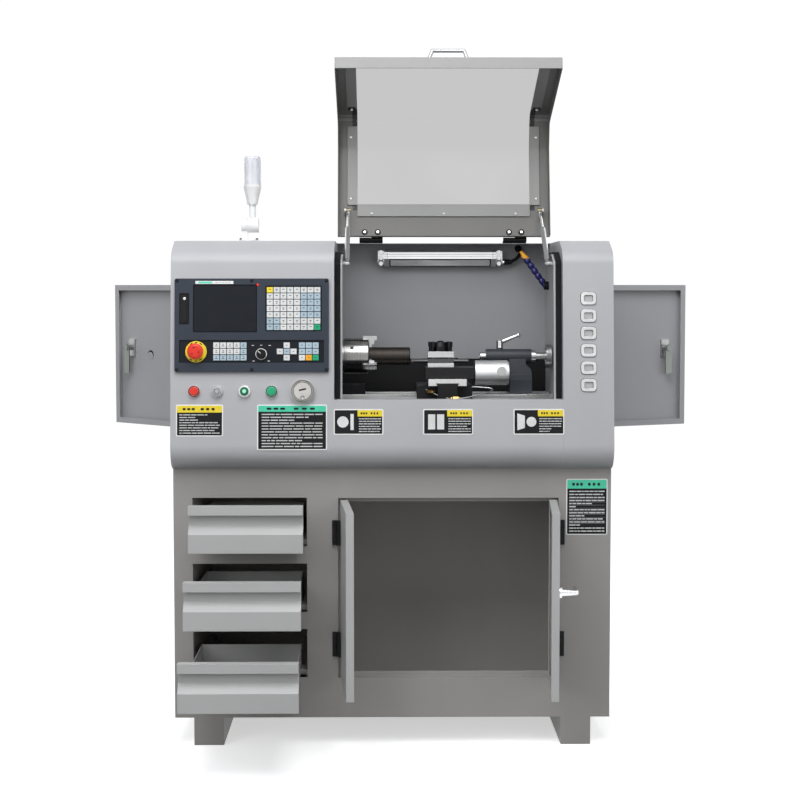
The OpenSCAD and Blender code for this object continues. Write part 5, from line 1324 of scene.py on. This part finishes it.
def louvre(w, h, d):
    """A pressed louvre: a slope that starts flush at the top, with a black face in the slot below it as
    painted shade.
    """
    steps = 6
    points, slope, slot = [], [], []
    for k in range(steps + 1):
        x = -w / 2 + w * k / steps
        lift = d * min(1.0, 3.0 * min(k, steps - k) / steps)
        section = ((h / 2, 0.0), (-h / 6, lift * 0.85), (-h / 2, lift), (-h / 2, 0.0))
        points += [Vector((x, y, z)) for y, z in section]
    for k in range(steps):
        a, b = 4 * k, 4 * k + 4
        slope += [[a, a + 1, b + 1, b], [a + 1, a + 2, b + 2, b + 1]]
        slot.append([a + 2, a + 3, b + 3, b + 2])
    return (points, slope), (points, slot)


def at_back(x, z, out=0.0):
    """A place on the back, seen from behind."""
    return placed((x, BACK_Y + out, z), (-1, 0, 0), (0, 0, 1))


def rear_cover(name, x, z, w, h, columns, rows):
    """A screwed cover with louvres."""
    sheet = slab(rounded_outline(w, h, 0.006), 0, COVER_THICK, 0.0004)
    slope, slot = louvre(0.062, 0.013, 0.005)
    places, screws = [], []
    for i in range(columns):
        for j in range(rows):
            dx, dz = (i - (columns - 1) / 2) * LOUVRE_PITCH[0], (j - (rows - 1) / 2) * LOUVRE_PITCH[1]
            places.append(at_back(x + dx, z + dz, COVER_THICK))
    for sx in (-1, 1):
        for sz in (-1, 0, 1):
            screws.append(at_back(x + sx * (w / 2 - 0.011), z + sz * (h / 2 - 0.011), COVER_THICK))
    # The black faces in the louvre slots are painted shade in the openings.
    batches = [(sheet, [at_back(x, z)], "housing"), (slope, places, "housing"), (slot, places, "black")]
    return piece(name, "machine", [*batches, (cover_screw, screws, "zinc")])


cover_screw = socket_screw(0.0042, 0.0022)
rear_cover("rear_cover_drive", -0.370, 1.060, 0.340, 0.420, 3, 7)
rear_cover("rear_cover_stand", 0.150, 0.420, 0.560, 0.460, 4, 8)
gland_nut = [(0, 0.024), (0.006, 0.024), (0.0075, 0.022), (0.0095, 0.015), (0.0095, 0.011)]
gland = spun([*gland_nut, (0.014, 0.010), (0.014, 0.0), (0, 0)], 6)
socket = slab(rounded_outline(0.058, 0.058, 0.006), 0, 0.012, 0.003)
lid = spun([(0, 0.022), (0.019, 0.022), (0.023, 0.019), (0.023, 0.012), (0, 0.012)], 32)
socket_place = at_back(0.500, 0.930)
piece(
    "rear_fittings", "machine",
    [
        (gland, [at_back(x, 0.830) for x in (0.500, 0.460)], "black"),
        (socket, [socket_place], "grey"),
        (lid, [socket_place], "black"),
    ],
)
seam_screws = [at_back(x, z) for x in (-0.170, 0.466) for z in (0.800, 0.985, 1.170, 1.330)]
piece("rear_screws", "machine", [(cover_screw, seam_screws, "zinc")])

# %% [markdown]
# ## Stage
#
# A pale floor that runs into a pale wall, a wide soft light above and in front, two weaker ones
# from the front corners and two from the rear corners for the back. Floor and world are white
# where the camera, a mirror or a pane looks at them, and dark where they light the machine, so
# that its under sides stay dark. Far from the machine the floor only glows, so no edge is seen.


# %% Floor, world and lights
def looked_at(tree):
    """1 where the camera, a mirror or a pane looks, 0 where light is gathered."""
    ray = add(tree, "ShaderNodeLightPath")
    mirrored = math_node(tree, "MAXIMUM", ray.outputs["Is Glossy Ray"], ray.outputs["Is Transmission Ray"])
    return math_node(tree, "MAXIMUM", ray.outputs["Is Camera Ray"], mirrored)


floor_mesh = bpy.data.meshes.new("floor")
reach, back, tall, bend = 9.0, 5.0, 9.0, 1.5
rows = [(-reach, 0.0), (back - bend, 0.0)]
for k in range(1, 11):
    a = math.radians(9 * k)
    rows.append((back - bend + bend * math.sin(a), bend - bend * math.cos(a)))
rows.append((back, tall))
corners = [(x, y, z) for y, z in rows for x in (-reach, reach)]
strips = [[2 * i, 2 * i + 1, 2 * i + 3, 2 * i + 2] for i in range(len(rows) - 1)]
floor_mesh.from_pydata(corners, [], strips)
for face in floor_mesh.polygons:
    face.use_smooth = True
floor = bpy.data.objects.new("floor", floor_mesh)
scene.collection.objects.link(floor)
FADE_START, FADE_END, NEAR_GLOW = 2.2, 4.6, 0.54
pale = bpy.data.materials.new("Pale floor")
pale.use_nodes = True
tree = pale.node_tree
shader = tree.nodes["Principled BSDF"]
shade = remap(tree, object_noise(tree, 0.7, 2.0), 0.3, 0.7)
paper = mix_colors(tree, shade, (0.90, 0.90, 0.90, 1), (0.93, 0.93, 0.93, 1))
place = add(tree, "ShaderNodeTexCoord")
distance = add(tree, "ShaderNodeVectorMath", operation="LENGTH")
wire(tree, place.outputs["Object"], distance.inputs[0])
far = remap(tree, distance.outputs["Value"], FADE_START, FADE_END)
paper = mix_colors(tree, far, paper, (0, 0, 0, 1))
glow = math_node(tree, "ADD", math_node(tree, "MULTIPLY", far, 1 - NEAR_GLOW), NEAR_GLOW)
wire(tree, mix_colors(tree, looked_at(tree), (0.12, 0.12, 0.12, 1), paper), shader.inputs["Base Color"])
wire(tree, math_node(tree, "MULTIPLY", looked_at(tree), glow), shader.inputs["Emission Strength"])
shader.inputs["Emission Color"].default_value = (1, 1, 1, 1)
shader.inputs["Roughness"].default_value = 0.9
floor_mesh.materials.append(pale)

world = bpy.data.worlds.new("Studio")
scene.world = world
world.use_nodes = True
tree = world.node_tree
sky = tree.nodes["Background"]
wire(tree, mix_colors(tree, looked_at(tree), (0.27, 0.28, 0.30, 1), (1, 1, 1, 1)), sky.inputs["Color"])


def soft_light(name, place, target, size, power, color=(1, 1, 1)):
    """A square area light that looks at a point."""
    data = bpy.data.lights.new(name, "AREA")
    data.size, data.energy, data.color = size, power, color
    light = bpy.data.objects.new(name, data)
    light.location = place
    light.rotation_euler = (Vector(target) - Vector(place)).to_track_quat("-Z", "Y").to_euler()
    scene.collection.objects.link(light)
    return light


LIGHT_SIZE, MACHINE_MIDDLE = 2.4, (0, 0, 0.9)
soft_light("top", (-0.2, -2.2, 3.5), (0, -0.1, 1.0), LIGHT_SIZE, 94, (0.98, 0.99, 1.0))
CORNER_LIGHTS = (
    ("front_left", (-2.6, -4.2, 2.4), 50), ("front_right", (3.0, -4.0, 1.8), 32),
    ("back_left", (-3.3, 3.4, 2.7), 70), ("back_right", (3.3, 3.4, 2.7), 70),
)
for name, place, power in CORNER_LIGHTS:
    soft_light(name, place, MACHINE_MIDDLE, LIGHT_SIZE, power)
print("stage and lights ready")

# %% [markdown]
# ## Camera
#
# The camera stands in front of the machine, a little left of the middle and a little above the
# spindle, with a long lens.

# %% Camera
camera_data = bpy.data.cameras.new("camera")
camera_data.sensor_width = 36.0
camera_data.lens = 78.2
camera = bpy.data.objects.new("camera", camera_data)
camera.location = (-0.033, -4.861, 1.230)
camera.rotation_euler = (math.radians(86.28), 0, math.radians(-0.66))
scene.collection.objects.link(camera)
scene.camera = camera
scene.view_settings.view_transform = "Standard"
print("camera at", [round(v, 3) for v in camera.location])
